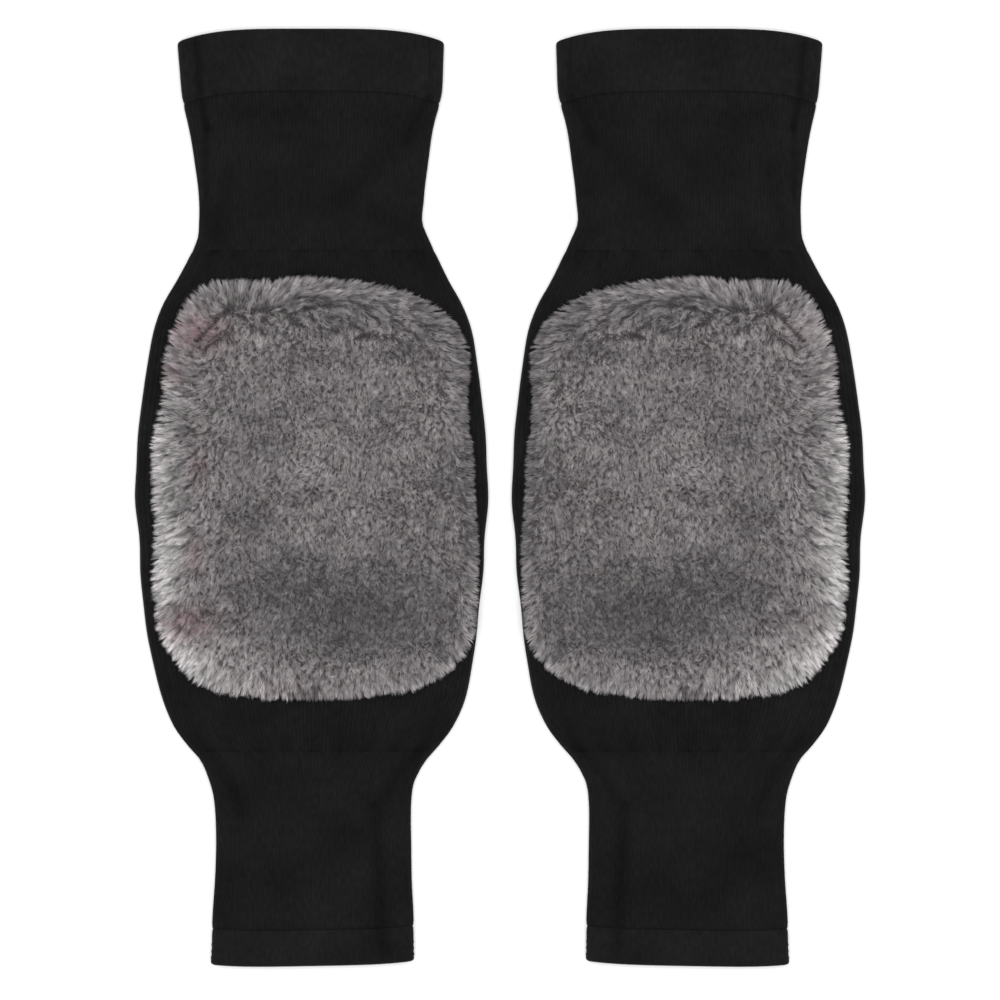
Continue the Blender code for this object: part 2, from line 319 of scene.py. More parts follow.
@dataclass(frozen=True)
class RibKnit:
    """Spun acrylic yarn, machine knitted in a fine rib: matt, black and a little fuzzy.

    The yarn soaks up nearly all light. Its loose fibres give a faint grey sheen at grazing angles,
    and the rows of stitches show as small slanted legs on each rib.
    """

    name: str = "rib_knit_acrylic_yarn"
    # painted light and shade: the crest colour is lighter and the valley colour darker, standing in for light
    # on a rib's crest and shade between the ribs
    crest: str = "#161616"
    valley: str = "#121212"
    roughness: float = 0.9
    glint: float = 0.05  # specular level: yarn this fuzzy has next to no shine
    sheen: float = 0.03
    sheen_spread: float = 0.55
    crest_span: tuple[float, float] = (0.5, 0.1)  # of a rib, from its valley to its crest
    leg_slant: float = 1.6  # stitches that a leg climbs across a rib
    leg_light: float = 0.7  # painted highlight: how much lighter a raised leg is coloured beside the crest, as if it caught the light
    stitch_relief: float = 0.22  # mm
    bump: float = 0.9
    fuzz: float = 0.35  # its height, beside a stitch's
    fuzz_size: float = 0.5  # mm
    slub: float = 0.26  # how much the yarn's thicker and thinner runs differ in tone
    slub_size: tuple[float, float] = (1.1, 3.0)  # ribs across and stitches along
    slub_span: tuple[float, float] = (0.25, 0.75)  # of the noise, where both tones are reached
    cloud: tuple[float, float] = (0.76, 1.2)  # darkest and palest tone of worn cloth
    cloud_size: float = 28.0  # mm, of its slow changes of tone
    cloud_span: tuple[float, float] = (0.3, 0.7)  # of the noise, where both tones are reached
    crease_painted_shade: float = 0.4  # painted shade: how much darker the colour is made where cloth lies a millimetre down in a crease or gather

    def make(self) -> bpy.types.Material:
        """Makes the material, read from a map that counts ribs across and stitches along.

        Returns:
            The material.
        """
        material, tree, shader = new_material(
            self.name, Roughness=self.roughness, Specular_IOR_Level=self.glint,
            Sheen_Weight=self.sheen, Sheen_Roughness=self.sheen_spread,
        )
        multiply, multiply_add = {"operation": "MULTIPLY"}, {"operation": "MULTIPLY_ADD"}
        half_way = {"operation": "PINGPONG"}  # rises from 0 to a half and falls to 0 again
        weave = add_node(tree, "UVMap", {"uv_map": "weave"})
        parts = add_node(tree, "SeparateXYZ", Vector=weave)
        rib = add_node(tree, "Math", half_way, input_0=parts.outputs[0], input_1=0.5)
        crest = add_node(
            tree, "MapRange", {"interpolation_type": "SMOOTHSTEP"}, Value=rib,
            input_1=self.crest_span[0], input_2=self.crest_span[1], input_3=0.0, input_4=1.0,
        )
        leg = add_node(tree, "Math", multiply_add, input_0=rib, input_1=self.leg_slant,
                       input_2=parts.outputs[1])
        stitch = add_node(tree, "Math", half_way, input_0=leg, input_1=0.5)
        raised = add_node(tree, "Math", multiply, input_0=stitch, input_1=crest)
        place = add_node(tree, "TexCoord").outputs["Object"]
        fuzz = add_node(tree, "TexNoise", Vector=place, Scale=1 / (self.fuzz_size * MM), Detail=3.0)
        cloud = add_node(tree, "TexNoise", Vector=place, Scale=1 / (self.cloud_size * MM), Detail=4.0)
        height = add_node(tree, "Math", multiply_add, input_0=fuzz, input_1=self.fuzz, input_2=raised)
        bump = add_node(tree, "Bump", Height=height, Distance=self.stitch_relief * MM, Strength=self.bump)
        # painted light and shade: crests and raised legs take the lighter colour, the valleys between the
        # ribs the darker one
        lit = add_node(tree, "Math", multiply_add, input_0=stitch, input_1=self.leg_light, input_2=crest)
        tone = add_node(tree, "Mix", {"data_type": "RGBA"}, Factor=lit,
                        input_6=linear(self.valley), input_7=linear(self.crest))
        level = add_node(tree, "MapRange", Value=cloud, input_1=self.cloud_span[0],
                         input_2=self.cloud_span[1], input_3=self.cloud[0], input_4=self.cloud[1])
        # painted shade: cloth lying down in a crease or gather is coloured darker by how deep it lies
        sunk = add_node(tree, "Attribute", {"attribute_name": "sunk"}).outputs["Fac"]
        shade = add_node(tree, "Math", multiply_add | {"use_clamp": True}, input_0=sunk,
                         input_1=-self.crease_painted_shade, input_2=1.0)
        depth = add_node(tree, "Math", multiply, input_0=level, input_1=shade)
        yarn = add_node(tree, "VectorMath", {"operation": "DIVIDE"}, input_0=weave,
                        input_1=(*self.slub_size, 1.0))
        runs = add_node(tree, "TexNoise", Vector=yarn, Scale=1.0, Detail=2.0)
        uneven = add_node(tree, "MapRange", Value=runs, input_1=self.slub_span[0],
                          input_2=self.slub_span[1], input_3=1 - self.slub, input_4=1 + self.slub)
        final = add_node(tree, "Math", multiply, input_0=depth, input_1=uneven)
        colour = add_node(tree, "VectorMath", {"operation": "SCALE"}, input_0=tone.outputs[2], Scale=final)
        tree.links.new(colour.outputs[0], shader.inputs["Base Color"])
        tree.links.new(bump.outputs[0], shader.inputs["Normal"])
        return material


# The same yarn, coloured a little lighter with less painted shade between its ribs, as the ribs of the denser
# doubled cloth stand closer.
DOUBLED_KNIT = RibKnit("doubled_knit_acrylic_yarn", crest="#171717", valley="#151515")


@dataclass(frozen=True)
class PlushLocks:
    """Polyester plush, sheared long and brushed: soft locks, dark at the root and frosted at the tip.

    Light sinks between the locks, so the pile looks mottled from above and pale where it lies over.
    """

    name: str = "brushed_polyester_plush"
    root: str = "#656061"
    tip: str = "#cdc8c9"
    frost: str = "#efecec"
    blush: str = "#b89fa4"
    tip_from: float = 0.9  # where along a strand its tip's colour starts
    roughness: float = 0.7
    glint: float = 0.2
    sheen: float = 0.1
    sheen_spread: float = 0.4

    def make(self) -> bpy.types.Material:
        """Makes the material, read from the numbers that each lock carries.

        Returns:
            The material.
        """
        material, tree, shader = new_material(
            self.name, Roughness=self.roughness, Specular_IOR_Level=self.glint,
            Sheen_Weight=self.sheen, Sheen_Roughness=self.sheen_spread,
        )
        frost, blush, height, shade = (
            add_node(tree, "Attribute", {"attribute_name": fact}).outputs["Fac"]
            for fact in ("frost", "blush", "height", "shade")
        )
        blend = {"data_type": "RGBA"}
        pale = add_node(tree, "Mix", blend, Factor=frost,
                        input_6=linear(self.tip), input_7=linear(self.frost))
        warm = add_node(tree, "Mix", blend, Factor=blush,
                        input_6=pale.outputs[2], input_7=linear(self.blush))
        along = add_node(tree, "MapRange", {"interpolation_type": "SMOOTHSTEP"}, Value=height,
                         input_1=0.0, input_2=self.tip_from, input_3=0.0, input_4=1.0)
        strand = add_node(tree, "Mix", blend, Factor=along,
                          input_6=linear(self.root), input_7=warm.outputs[2])
        colour = add_node(tree, "VectorMath", {"operation": "SCALE"}, input_0=strand.outputs[2], Scale=shade)
        tree.links.new(colour.outputs[0], shader.inputs["Base Color"])
        return material


@dataclass(frozen=True)
class PileBed:
    """The dense lower half of the plush, where its fibres stand too close to part: dark and matt."""

    name: str = "dense_plush_pile"
    dark: str = "#494445"
    light: str = "#686263"
    lump_size: float = 1.6  # mm
    bump: float = 0.8
    roughness: float = 0.95
    glint: float = 0.1

    def make(self) -> bpy.types.Material:
        """Makes the material, mottled as the pile is.

        Returns:
            The material.
        """
        material, tree, shader = new_material(
            self.name, Roughness=self.roughness, Specular_IOR_Level=self.glint
        )
        place, size = add_node(tree, "TexCoord").outputs["Object"], self.lump_size * MM
        lumps = add_node(tree, "TexNoise", Vector=place, Scale=1 / size, Detail=3.0)
        tone = add_node(tree, "Mix", {"data_type": "RGBA"}, Factor=lumps,
                        input_6=linear(self.dark), input_7=linear(self.light))
        bump = add_node(tree, "Bump", Height=lumps, Distance=size, Strength=self.bump)
        tree.links.new(tone.outputs[2], shader.inputs["Base Color"])
        tree.links.new(bump.outputs[0], shader.inputs["Normal"])
        return material


@dataclass(frozen=True)
class MattFloor:
    """White seamless paper, rolled out: smooth, matt and bright."""

    name: str = "white_seamless_paper"
    colour: str = "#f7f7f7"
    roughness: float = 0.9
    glint: float = 0.1

    def make(self) -> bpy.types.Material:
        """The material of the studio's floor."""
        return new_material(self.name, Base_Color=linear(self.colour), Roughness=self.roughness,
                            Specular_IOR_Level=self.glint)[0]


# ------------------------------------------------------------------------------------------------
# The knit leg
# ------------------------------------------------------------------------------------------------


class Station(NamedTuple):
    """How the tube lies at one place up the leg."""

    along: float  # from the middle of the leg, towards the thigh
    half: float  # half the flat width
    lean: float  # how far mid width lies to the right of the warmer's axis
    loft: float  # across the hollow, at mid width


STATIONS = tuple(Station(*row) for row in (
    (250.0, 70.5, -0.6, 1.3),
    (241.0, 70.8, -0.8, 1.2),
    (217.0, 69.3, -0.3, 1.0),
    (200.0, 65.8, -0.7, 1.0),
    (180.0, 62.0, -0.5, 1.0),
    (158.0, 59.9, -0.5, 1.0),
    (147.0, 59.2, -0.9, 1.1),
    (138.0, 61.3, 0.4, 1.3),
    (127.0, 66.6, 0.5, 1.6),
    (115.0, 72.8, 0.2, 2.0),
    (103.0, 79.4, 0.1, 2.3),
    (88.0, 84.8, 0.2, 2.6),
    (70.0, 87.9, 0.0, 2.8),
    (36.0, 92.1, -0.3, 2.8),
    (4.0, 93.7, -0.4, 2.8),
    (-30.0, 91.5, -0.2, 2.8),
    (-60.0, 89.2, -0.5, 2.8),
    (-87.0, 85.1, 0.2, 2.6),
    (-108.0, 80.2, 0.8, 2.2),
    (-122.0, 74.3, 0.6, 1.9),
    (-132.0, 66.8, 0.5, 1.6),
    (-140.0, 59.8, 0.5, 1.4),
    (-150.0, 54.9, -0.2, 1.2),
    (-161.0, 52.6, 0.2, 1.0),
    (-184.0, 51.7, 0.7, 1.0),
    (-214.0, 53.0, 0.4, 1.0),
    (-240.0, 53.8, 0.2, 1.1),
    (-250.0, 54.5, 0.0, 1.3),
))


class Course(NamedTuple):
    """How a row of knit runs across the tube."""

    along: float
    drop: float  # how much lower the row lies at both folds than at mid width
    tilt: float  # how much higher it lies at the right fold than at mid width


COURSES = tuple(Course(*row) for row in (
    (250.0, 7.0, 0.0),
    (217.0, 7.0, 0.0),
    (190.0, 4.5, 0.0),
    (160.0, 1.5, 0.0),
    (132.0, 0.0, 0.0),
    (-136.0, 0.0, 0.0),
    (-230.0, -1.4, 0.8),
    (-250.0, -1.8, 1.0),
))


class Valley(NamedTuple):
    """A line along which the cloth or the pile sinks.

    On the knit its places across are in half widths of the tube.
    """

    start: tuple[float, float]  # across, and up the leg
    end: tuple[float, float]
    depth: float
    width: float


def read_valleys(rows: tuple[tuple[float, ...], ...]) -> tuple[Valley, ...]:
    """Valleys from rows of start, end, depth and width."""
    return tuple(Valley(row[:2], row[2:4], *row[4:]) for row in rows)


# Soft troughs in the front cloth.
CREASES = read_valleys((
    (-0.86, 243.0, -0.86, 196.0, 1.0, 2.2),
    (-0.87, 198.0, -0.94, 160.0, 0.7, 1.8),
    (0.90, 244.0, 0.91, 220.0, 0.5, 1.6),
    (0.92, 214.0, 0.80, 190.0, 0.7, 3.4),
    (0.72, 190.0, 0.22, 156.0, 0.6, 9.0),
    (0.05, 182.0, -0.35, 164.0, 0.3, 8.0),
    (-0.70, 176.0, -0.86, 140.0, 0.5, 5.0),
    (-0.62, 205.0, 0.66, 203.0, 0.35, 6.0),
    (0.55, 152.0, 0.86, 144.0, 0.35, 5.0),
    (-0.86, -140.0, -0.72, -166.0, 0.7, 4.0),
    (0.90, -134.0, 0.74, -160.0, 0.6, 4.0),
    (0.64, -164.0, 0.70, -240.0, 0.9, 4.2),
    (-0.55, -186.0, -0.84, -200.0, 0.4, 5.0),
    (0.10, -172.0, 0.34, -178.0, 0.3, 5.0),
    (-0.20, -214.0, -0.44, -196.0, 0.25, 6.0),
))


class Gather(NamedTuple):
    """A short trough where the full knee tube is drawn into a rib."""

    across: float  # in half widths
    seam: float
    reach: float  # how far it runs into the knee tube; negative runs down the leg
    depth: float


THIGH_SEAM, CALF_SEAM = 131.8, -135.5
GATHERS = tuple(Gather(*row) for row in (
    (-0.83, THIGH_SEAM, -24.0, 0.9),
    (-0.61, THIGH_SEAM, -16.0, 0.6),
    (-0.39, THIGH_SEAM, -12.0, 0.5),
    (-0.11, THIGH_SEAM, -13.0, 0.6),
    (0.17, THIGH_SEAM, -12.0, 0.5),
    (0.44, THIGH_SEAM, -16.0, 0.6),
    (0.67, THIGH_SEAM, -20.0, 0.8),
    (0.86, THIGH_SEAM, -28.0, 0.9),
    (-0.86, CALF_SEAM, 34.0, 0.9),
    (-0.67, CALF_SEAM, 28.0, 0.8),
    (-0.44, CALF_SEAM, 24.0, 0.6),
    (-0.22, CALF_SEAM, 20.0, 0.7),
    (0.0, CALF_SEAM, 26.0, 0.8),
    (0.22, CALF_SEAM, 20.0, 0.6),
    (0.44, CALF_SEAM, 26.0, 0.8),
    (0.67, CALF_SEAM, 22.0, 0.7),
    (0.86, CALF_SEAM, 34.0, 0.9),
))


def from_line(
    line: Valley, x: np.ndarray, y: np.ndarray, scale: np.ndarray | float = 1.0
) -> tuple[np.ndarray, np.ndarray]:
    """The way to each place from the nearest point of a line.

    Args:
        line: where it starts and ends.
        x: places across.
        y: places up the leg.
        scale: the length of the unit that the line's points are across in.

    Returns:
        How far each place is off across and up the leg.
    """
    start_x, start_y = line.start[0] * scale, line.start[1]
    way_x, way_y = line.end[0] * scale - start_x, line.end[1] - start_y
    share = np.clip(((x - start_x) * way_x + (y - start_y) * way_y) / (way_x**2 + way_y**2), 0, 1)
    return x - start_x - way_x * share, y - start_y - way_y * share


def trough(
    valley: Valley, x: np.ndarray, y: np.ndarray, scale: np.ndarray | float = 1.0
) -> np.ndarray:
    """How deep one valley is at each place; its arguments are those of from_line."""
    off_x, off_y = from_line(valley, x, y, scale)
    return valley.depth * np.exp(-(off_x**2 + off_y**2) / valley.width**2)


class End(Enum):
    """How a stretch of knit ends."""

    LIP = "a doubled band's free edge, rolled over"
    SEAM = "a linked seam, drawn in a little"
    TURN = "a row where the rib turns to another, barely a line"
    RUN_ON = "the knit runs on, with no line"


@dataclass(frozen=True)
class KnitLeg:
    """One warmer's knit tube, as a form that every stretch is cut from."""

    ribs: int = 144  # round the tube, the same from thigh to calf
    fold_gap: float = 1.0  # across the hollow, inside each side fold
    drop_power: int = 4  # how late a row of knit drops towards the folds
    still_power: int = 6  # how late the cockle dies out towards the folds
    rounding: tuple[float, float] = (-0.9, 0.2)  # where ribs rise on a fold, from its lowest to its side
    gather_width: float = 0.07  # in half widths
    cockle: Waves = Waves(0.3, 34.0, 11)  # the soft unevenness of cloth that has been handled
    edge_wander: Waves = Waves(0.25, 26.0, 3)
    flat_ribs: int = 33  # from the underside's middle to where a fold starts
    back_steps: int = 8  # points across that stretch, whose ribs lie hidden on the floor
    rib_steps: tuple[float, ...] = (0.0, 0.36, 0.64)  # a crest and both feet of a rib

    def columns(self) -> np.ndarray:
        """Places the columns of points round the tube, fine on the front.

        Returns:
            One number for each column of points, from 0 to less than the number of ribs.
        """
        back = np.linspace(0, self.flat_ribs, self.back_steps, endpoint=False)
        front = np.arange(self.flat_ribs, self.ribs - self.flat_ribs)[:, None] + np.array(self.rib_steps)
        last = self.ribs - back[::-1] - self.flat_ribs / self.back_steps
        return np.concatenate([back, front.ravel(), last])

    def profile(self, along: np.ndarray) -> tuple[np.ndarray, ...]:
        """The row of knit at each place up the leg.

        Args:
            along: places at mid width.

        Returns:
            drop, tilt, half width, lean and loft.
        """
        drop, tilt = read_table(COURSES, along)
        half, lean, loft = read_table(STATIONS, along - drop)
        half = half + self.edge_wander.at(along, 0.0 * along)
        return drop, tilt, half, lean, loft

    def front_height(self, x: np.ndarray, y: np.ndarray, wall: float) -> np.ndarray:
        """How high the front cloth lies over the floor on the knee, between its ribs' crests.

        Args:
            x: places across, from the warmer's axis.
            y: places up the leg.
            wall: the cloth's thickness.

        Returns:
            Heights, shaped as x.
        """
        _, _, half, lean, loft = self.profile(y)
        fold = wall + self.fold_gap / 2
        across = np.clip((x - lean) / (half - fold), -1, 1)
        return 2 * fold + (loft - self.fold_gap) * (1 - across**2) ** 2

    def rings(
        self, along: np.ndarray, depth: np.ndarray, wall: float, relief: np.ndarray, gathered: bool
    ) -> tuple[np.ndarray, np.ndarray]:
        """Points of closed rings round the tube.

        Args:
            along: each ring's place up the leg.
            depth: 0 on the cloth's outside, 1 on its inside.
            wall: the cloth's thickness.
            relief: each ring's height of rib.
            gathered: whether the gathers run into this stretch.

        Returns:
            (rings, columns, 3) points, and how deep each lies in a crease of the front.
        """
        drop, tilt, half, lean, loft = (v[:, None] for v in self.profile(along))
        column = self.columns()
        fold = wall + self.fold_gap / 2
        radius = fold - depth[:, None] * wall
        flat = half - fold
        travel = column / self.ribs * (4 * flat + 2 * math.pi * radius)
        left, right = flat, 3 * flat + math.pi * radius
        bend = np.pi * radius
        left_turn = np.clip((travel - left) / radius, 0, math.pi)
        right_turn = np.clip((travel - right) / radius, 0, math.pi)
        front = np.clip(travel - left - bend, 0, 2 * flat)
        back = np.minimum(travel, flat) - np.clip(travel - right - bend, 0, flat)
        x = np.where(travel < left + bend / 2, -back, front - flat)
        x = np.where(travel > right + bend, flat - np.clip(travel - right - bend, 0, flat), x)
        x = x - np.where(travel < left + bend, radius * np.sin(left_turn), 0)
        x = x + np.where(travel > right, radius * np.sin(right_turn), 0)
        rise = -np.cos(left_turn) + np.where(travel > right, -1 - np.cos(right_turn + math.pi), 0)
        z = fold + radius * rise
        on_front = (travel >= left + bend) & (travel <= right)
        across = x / half
        y = along[:, None] - drop * np.abs(across) ** self.drop_power + tilt * across
        crown = (loft - self.fold_gap) * (1 - np.clip(x / flat, -1, 1) ** 2) ** 2
        outside = 1 - depth[:, None]
        sunk = sum(trough(crease, x, y, half) for crease in CREASES)
        if gathered:
            sunk = sunk + sum(self.gather(g, across, along[:, None]) for g in GATHERS)
        sunk = np.where(on_front, sunk * outside, 0)
        cockle = self.cockle.at(x, y) * (1 - np.abs(across) ** self.still_power) * outside
        z = z + np.where(on_front, crown + cockle, 0) - sunk
        crest = np.cos(2 * math.pi * column)
        lift = relief[:, None] * crest * smooth_step(*self.rounding, rise) * outside
        turned = np.where(travel < left + bend, left_turn, math.pi - right_turn)
        way = np.where(on_front, 0.0, np.sin(turned)) * np.sign(x)
        up = np.where(on_front, 1.0, rise)
        return np.stack([x + lean + lift * way, y, z + lift * up], -1), sunk

    def gather(self, gather: Gather, across: np.ndarray, along: np.ndarray) -> np.ndarray:
        """How deep one gather is.

        Args:
            gather: its place and size.
            across: places across, in half widths.
            along: places up the leg.

        Returns:
            Depths over the grid of both.
        """
        run = (along - gather.seam) / gather.reach
        fade = np.where((run >= 0) & (run <= 1), (1 - np.clip(run, 0, 1)) ** 2, 0)
        return gather.depth * fade * np.exp(-(((across - gather.across) / self.gather_width) ** 2))

    def round_length(self, along: np.ndarray, wall: float) -> np.ndarray:
        """How far it is round the cloth's middle at places up the leg.

        Args:
            along: places at mid width.
            wall: the cloth's thickness.

        Returns:
            Lengths, shaped as along.
        """
        half = self.profile(along)[2]
        fold = wall + self.fold_gap / 2
        return 4 * (half - fold) + 2 * math.pi * (fold - wall / 2)


@dataclass(frozen=True)
class KnitStretch:
    """One piece of the knit tube, with its own wall and finish at both ends.

    Attributes:
        name: its node's name after the side.
        top: its upper end, up the leg at mid width.
        bottom: its lower end.
        wall: the cloth's thickness.
        relief: how high its ribs stand.
        upper: how it ends above.
        lower: how it ends below.
        welts: places of fine rows that run round it.
    """

    name: str
    top: float
    bottom: float
    wall: float
    relief: float
    upper: End
    lower: End
    welts: tuple[float, ...] = ()
    row_step: float = 3.4
    inner_step: float = 22.0
    stitch: float = 1.5  # one stitch along a rib
    seam_depth: float = 0.45
    turn_depth: float = 0.2
    seam_width: float = 0.9
    join_relief: float = 0.28  # of a rib where one stretch runs on into the next
    join_length: float = 9.0
    rim: float = 0.08  # a last narrow row, which keeps the rim's shading off the front
    welt_height: float = 0.3
    welt_width: float = 0.7
    lip_turns: int = 4
    readings: int = 40  # of the length round it

    def outer_rows(self) -> np.ndarray:
        """Places of the outside's rings from the top down, closer at a seam, lip or welt.

        Returns:
            Places at mid width, each once.
        """
        lip = self.wall / 2
        top = self.top - (lip if self.upper is End.LIP else 0)
        bottom = self.bottom + (lip if self.lower is End.LIP else 0)
        count = max(2, round((top - bottom) / self.row_step))
        rows = list(np.linspace(top, bottom, count + 1))
        if self.upper is not End.LIP:
            rows += [top - self.rim, top - self.seam_width / 2, top - self.seam_width]
        if self.lower is not End.LIP:
            rows += [bottom + self.rim, bottom + self.seam_width / 2, bottom + self.seam_width]
        for welt in self.welts:
            rows += [welt + self.welt_width * k for k in (-1, -0.5, 0, 0.5, 1)]
        return np.unique(np.round(rows, 4))[::-1]

    def swell(self, along: np.ndarray) -> np.ndarray:
        """How much the outside stands out at seams and welts.

        Args:
            along: each ring's place.

        Returns:
            Heights, below 0 where it is drawn in.
        """
        total = np.zeros_like(along)
        depths = {End.SEAM: self.seam_depth, End.TURN: self.turn_depth}
        for end, place in ((self.upper, self.top), (self.lower, self.bottom)):
            total -= depths.get(end, 0.0) * np.exp(-(((along - place) / self.seam_width) ** 2))
        for welt in self.welts:
            total += self.welt_height * np.exp(-(((along - welt) / self.welt_width) ** 2) * 2)
        return total

    def ribbed(self, along: np.ndarray) -> np.ndarray:
        """How high the ribs stand at each ring, evened out where one stretch runs on into the next.

        Args:
            along: each ring's place.

        Returns:
            Heights, shaped as along.
        """
        total = np.full_like(along, self.relief)
        for end, place in ((self.upper, self.top), (self.lower, self.bottom)):
            if end in (End.TURN, End.RUN_ON):
                near = 1 - smooth_step(0.0, self.join_length, np.abs(along - place))
                total += (self.join_relief - self.relief) * near
        return total

    def lip(self, place: float, outward: int) -> tuple[np.ndarray, np.ndarray]:
        """Rolls rings over a free edge, from the outside to the inside.

        Args:
            place: the edge's place.
            outward: 1 for an upper edge, -1 for a lower one.

        Returns:
            Each ring's place, and its depth in the cloth from 0 to 1.
        """
        turn = np.linspace(0, math.pi, self.lip_turns + 1)[1:-1]
        radius = self.wall / 2
        return place + outward * radius * (np.sin(turn) - 1), (1 - np.cos(turn)) / 2

    def skin(self, leg: KnitLeg) -> Skin:
        """The stretch as one closed shell.

        Args:
            leg: the form that it is cut from.

        Returns:
            Its mesh.
        """
        outer = self.outer_rows()
        inner_count = max(2, round((self.top - self.bottom) / self.inner_step) + 1)
        inner = np.linspace(outer[-1], outer[0], inner_count)
        parts = [(outer, np.zeros_like(outer))]
        if self.lower is End.LIP:
            parts.append(self.lip(self.bottom, -1))
        parts.append((inner, np.ones_like(inner)))
        if self.upper is End.LIP:
            places, depths = self.lip(self.top, 1)
            parts.append((places[::-1], depths[::-1]))
        along = np.concatenate([p[0] for p in parts])
        depth = np.concatenate([p[1] for p in parts])
        swell = self.swell(along) * (depth == 0)
        knee = self.name == "knee_tube"
        grid, sunk = leg.rings(along, depth - swell / self.wall, self.wall, self.ribbed(along), knee)
        grid[..., 2] = np.maximum(grid[..., 2], 0)
        corners = closed_grid(*grid.shape[:2])
        faces = np.stack([row * grid.shape[1] + column for row, column in corners], -1).reshape(-1, 4)
        # The last column's faces end at the first one, which is a whole turn of ribs further on.
        count, first = np.append(leg.columns(), leg.ribs), corners[0][1]
        turns = [first + (k > 1) for k in range(4)]
        weave = [np.stack([count[t], (along / self.stitch)[row]], -1) for t, (row, _) in zip(turns, corners)]
        return Skin(grid.reshape(-1, 3), faces, np.stack(weave, -2).reshape(-1, 4, 2), {"sunk": sunk.ravel()})

    @property
    def doubled(self) -> bool:
        """Whether it is a band, of cloth folded double."""
        return End.LIP in (self.upper, self.lower)

    def build(self, leg: KnitLeg, side: Side, axis: float, finish: bpy.types.Material) -> bpy.types.Object:
        """Makes the stretch, in place of its CAD node.

        Args:
            leg: the form that it is cut from.
            side: which warmer it is for.
            axis: how far the warmer's axis lies from the pair's middle.
            finish: its material.

        Returns:
            The piece.
        """
        piece = make_piece(f"{self.name}_knit", self.skin(leg), side, axis, finish)
        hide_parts(f"{side.label}_{self.name}")
        along = np.linspace(self.bottom, self.top, self.readings)
        round_it = leg.round_length(along, self.wall)
        return piece


STRETCHES = (
    KnitStretch("top_band", 250.0, 217.0, 2.8, 0.16, End.LIP, End.SEAM),
    KnitStretch("thigh_rib", 217.0, THIGH_SEAM, 2.2, 0.24, End.SEAM, End.TURN),
    KnitStretch("knee_tube", THIGH_SEAM, CALF_SEAM, 2.2, 0.34, End.TURN, End.RUN_ON),
    KnitStretch("calf_rib", CALF_SEAM, -230.5, 2.2, 0.22, End.RUN_ON, End.SEAM),
    KnitStretch("hem_band", -230.5, -249.6, 2.8, 0.16, End.SEAM, End.LIP, (-239.0, -242.5, -246.0)),
)


# ------------------------------------------------------------------------------------------------
# The plush patch
# ------------------------------------------------------------------------------------------------


class Edge(NamedTuple):
    """How the plush ends in one direction from the patch's middle."""

    out: float  # how far the fur reaches
    overhang: float  # how far its strands reach past the bed of pile
    belt: float  # how wide the belt is that is brushed its own way
    way: float  # degrees, the way it is brushed
    lie: float  # how far it lies over: 0 stands upright and 1 lies at half a right angle
    long: float  # its strands' length, for 1 in the middle
    pale: float  # how pale its tips are, or dark below 0

    @property
    def lean_x(self) -> float:
        """How far it lies over to the right."""
        return self.lie * math.cos(math.radians(self.way))

    @property
    def lean_y(self) -> float:
        """How far it lies over up the leg."""
        return self.lie * math.sin(math.radians(self.way))


# One row for each 15 degrees, anticlockwise from the right.
EDGES = tuple(Edge(*row) for row in (
    (85.4, 2.6, 6.0, -25.0, 0.9, 0.8, -0.42),  # right
    (86.3, 2.1, 7.0, -25.0, 1.1, 0.8, -0.52),
    (93.8, 2.2, 9.0, -22.0, 1.3, 0.9, -0.62),
    (112.8, 3.2, 12.0, -15.0, 1.5, 1.0, -0.46),
    (117.3, 3.7, 13.0, -12.0, 1.5, 1.0, -0.20),
    (112.8, 2.6, 14.0, -8.0, 1.5, 1.1, -0.16),
    (111.7, 2.3, 16.0, 15.0, 1.6, 1.2, -0.04),  # towards the thigh
    (114.3, 4.0, 15.0, 60.0, 1.5, 1.1, -0.08),
    (123.2, 4.7, 14.0, 122.0, 1.4, 1.0, -0.10),
    (110.9, 5.2, 14.0, 152.0, 1.4, 1.0, 0.14),
    (95.0, 5.4, 15.0, 175.0, 1.4, 1.0, 0.44),
    (90.4, 5.3, 15.5, 190.0, 1.5, 1.0, 0.80),
    (86.8, 5.0, 16.5, 197.0, 1.5, 1.0, 1.10),  # left
    (88.9, 5.0, 17.0, 202.0, 1.5, 1.0, 1.10),
    (100.5, 5.1, 19.0, 211.0, 1.5, 1.0, 1.20),
    (115.4, 5.0, 17.5, 225.0, 1.4, 1.0, 1.05),
    (121.9, 4.5, 17.5, 241.0, 1.3, 0.9, 0.80),
    (116.3, 3.7, 12.0, 258.0, 1.2, 0.8, 0.20),
    (112.9, 3.5, 9.0, 270.0, 1.1, 0.8, -0.32),  # towards the calf
    (115.5, 3.9, 8.0, 280.0, 1.1, 0.8, -0.06),
    (121.3, 3.6, 8.0, 292.0, 1.1, 0.8, 0.10),
    (118.3, 3.6, 7.0, 305.0, 1.1, 0.8, -0.10),
    (100.6, 3.4, 6.0, 325.0, 1.0, 0.8, -0.22),
    (90.1, 2.9, 6.0, 335.0, 0.9, 0.8, -0.36),
))
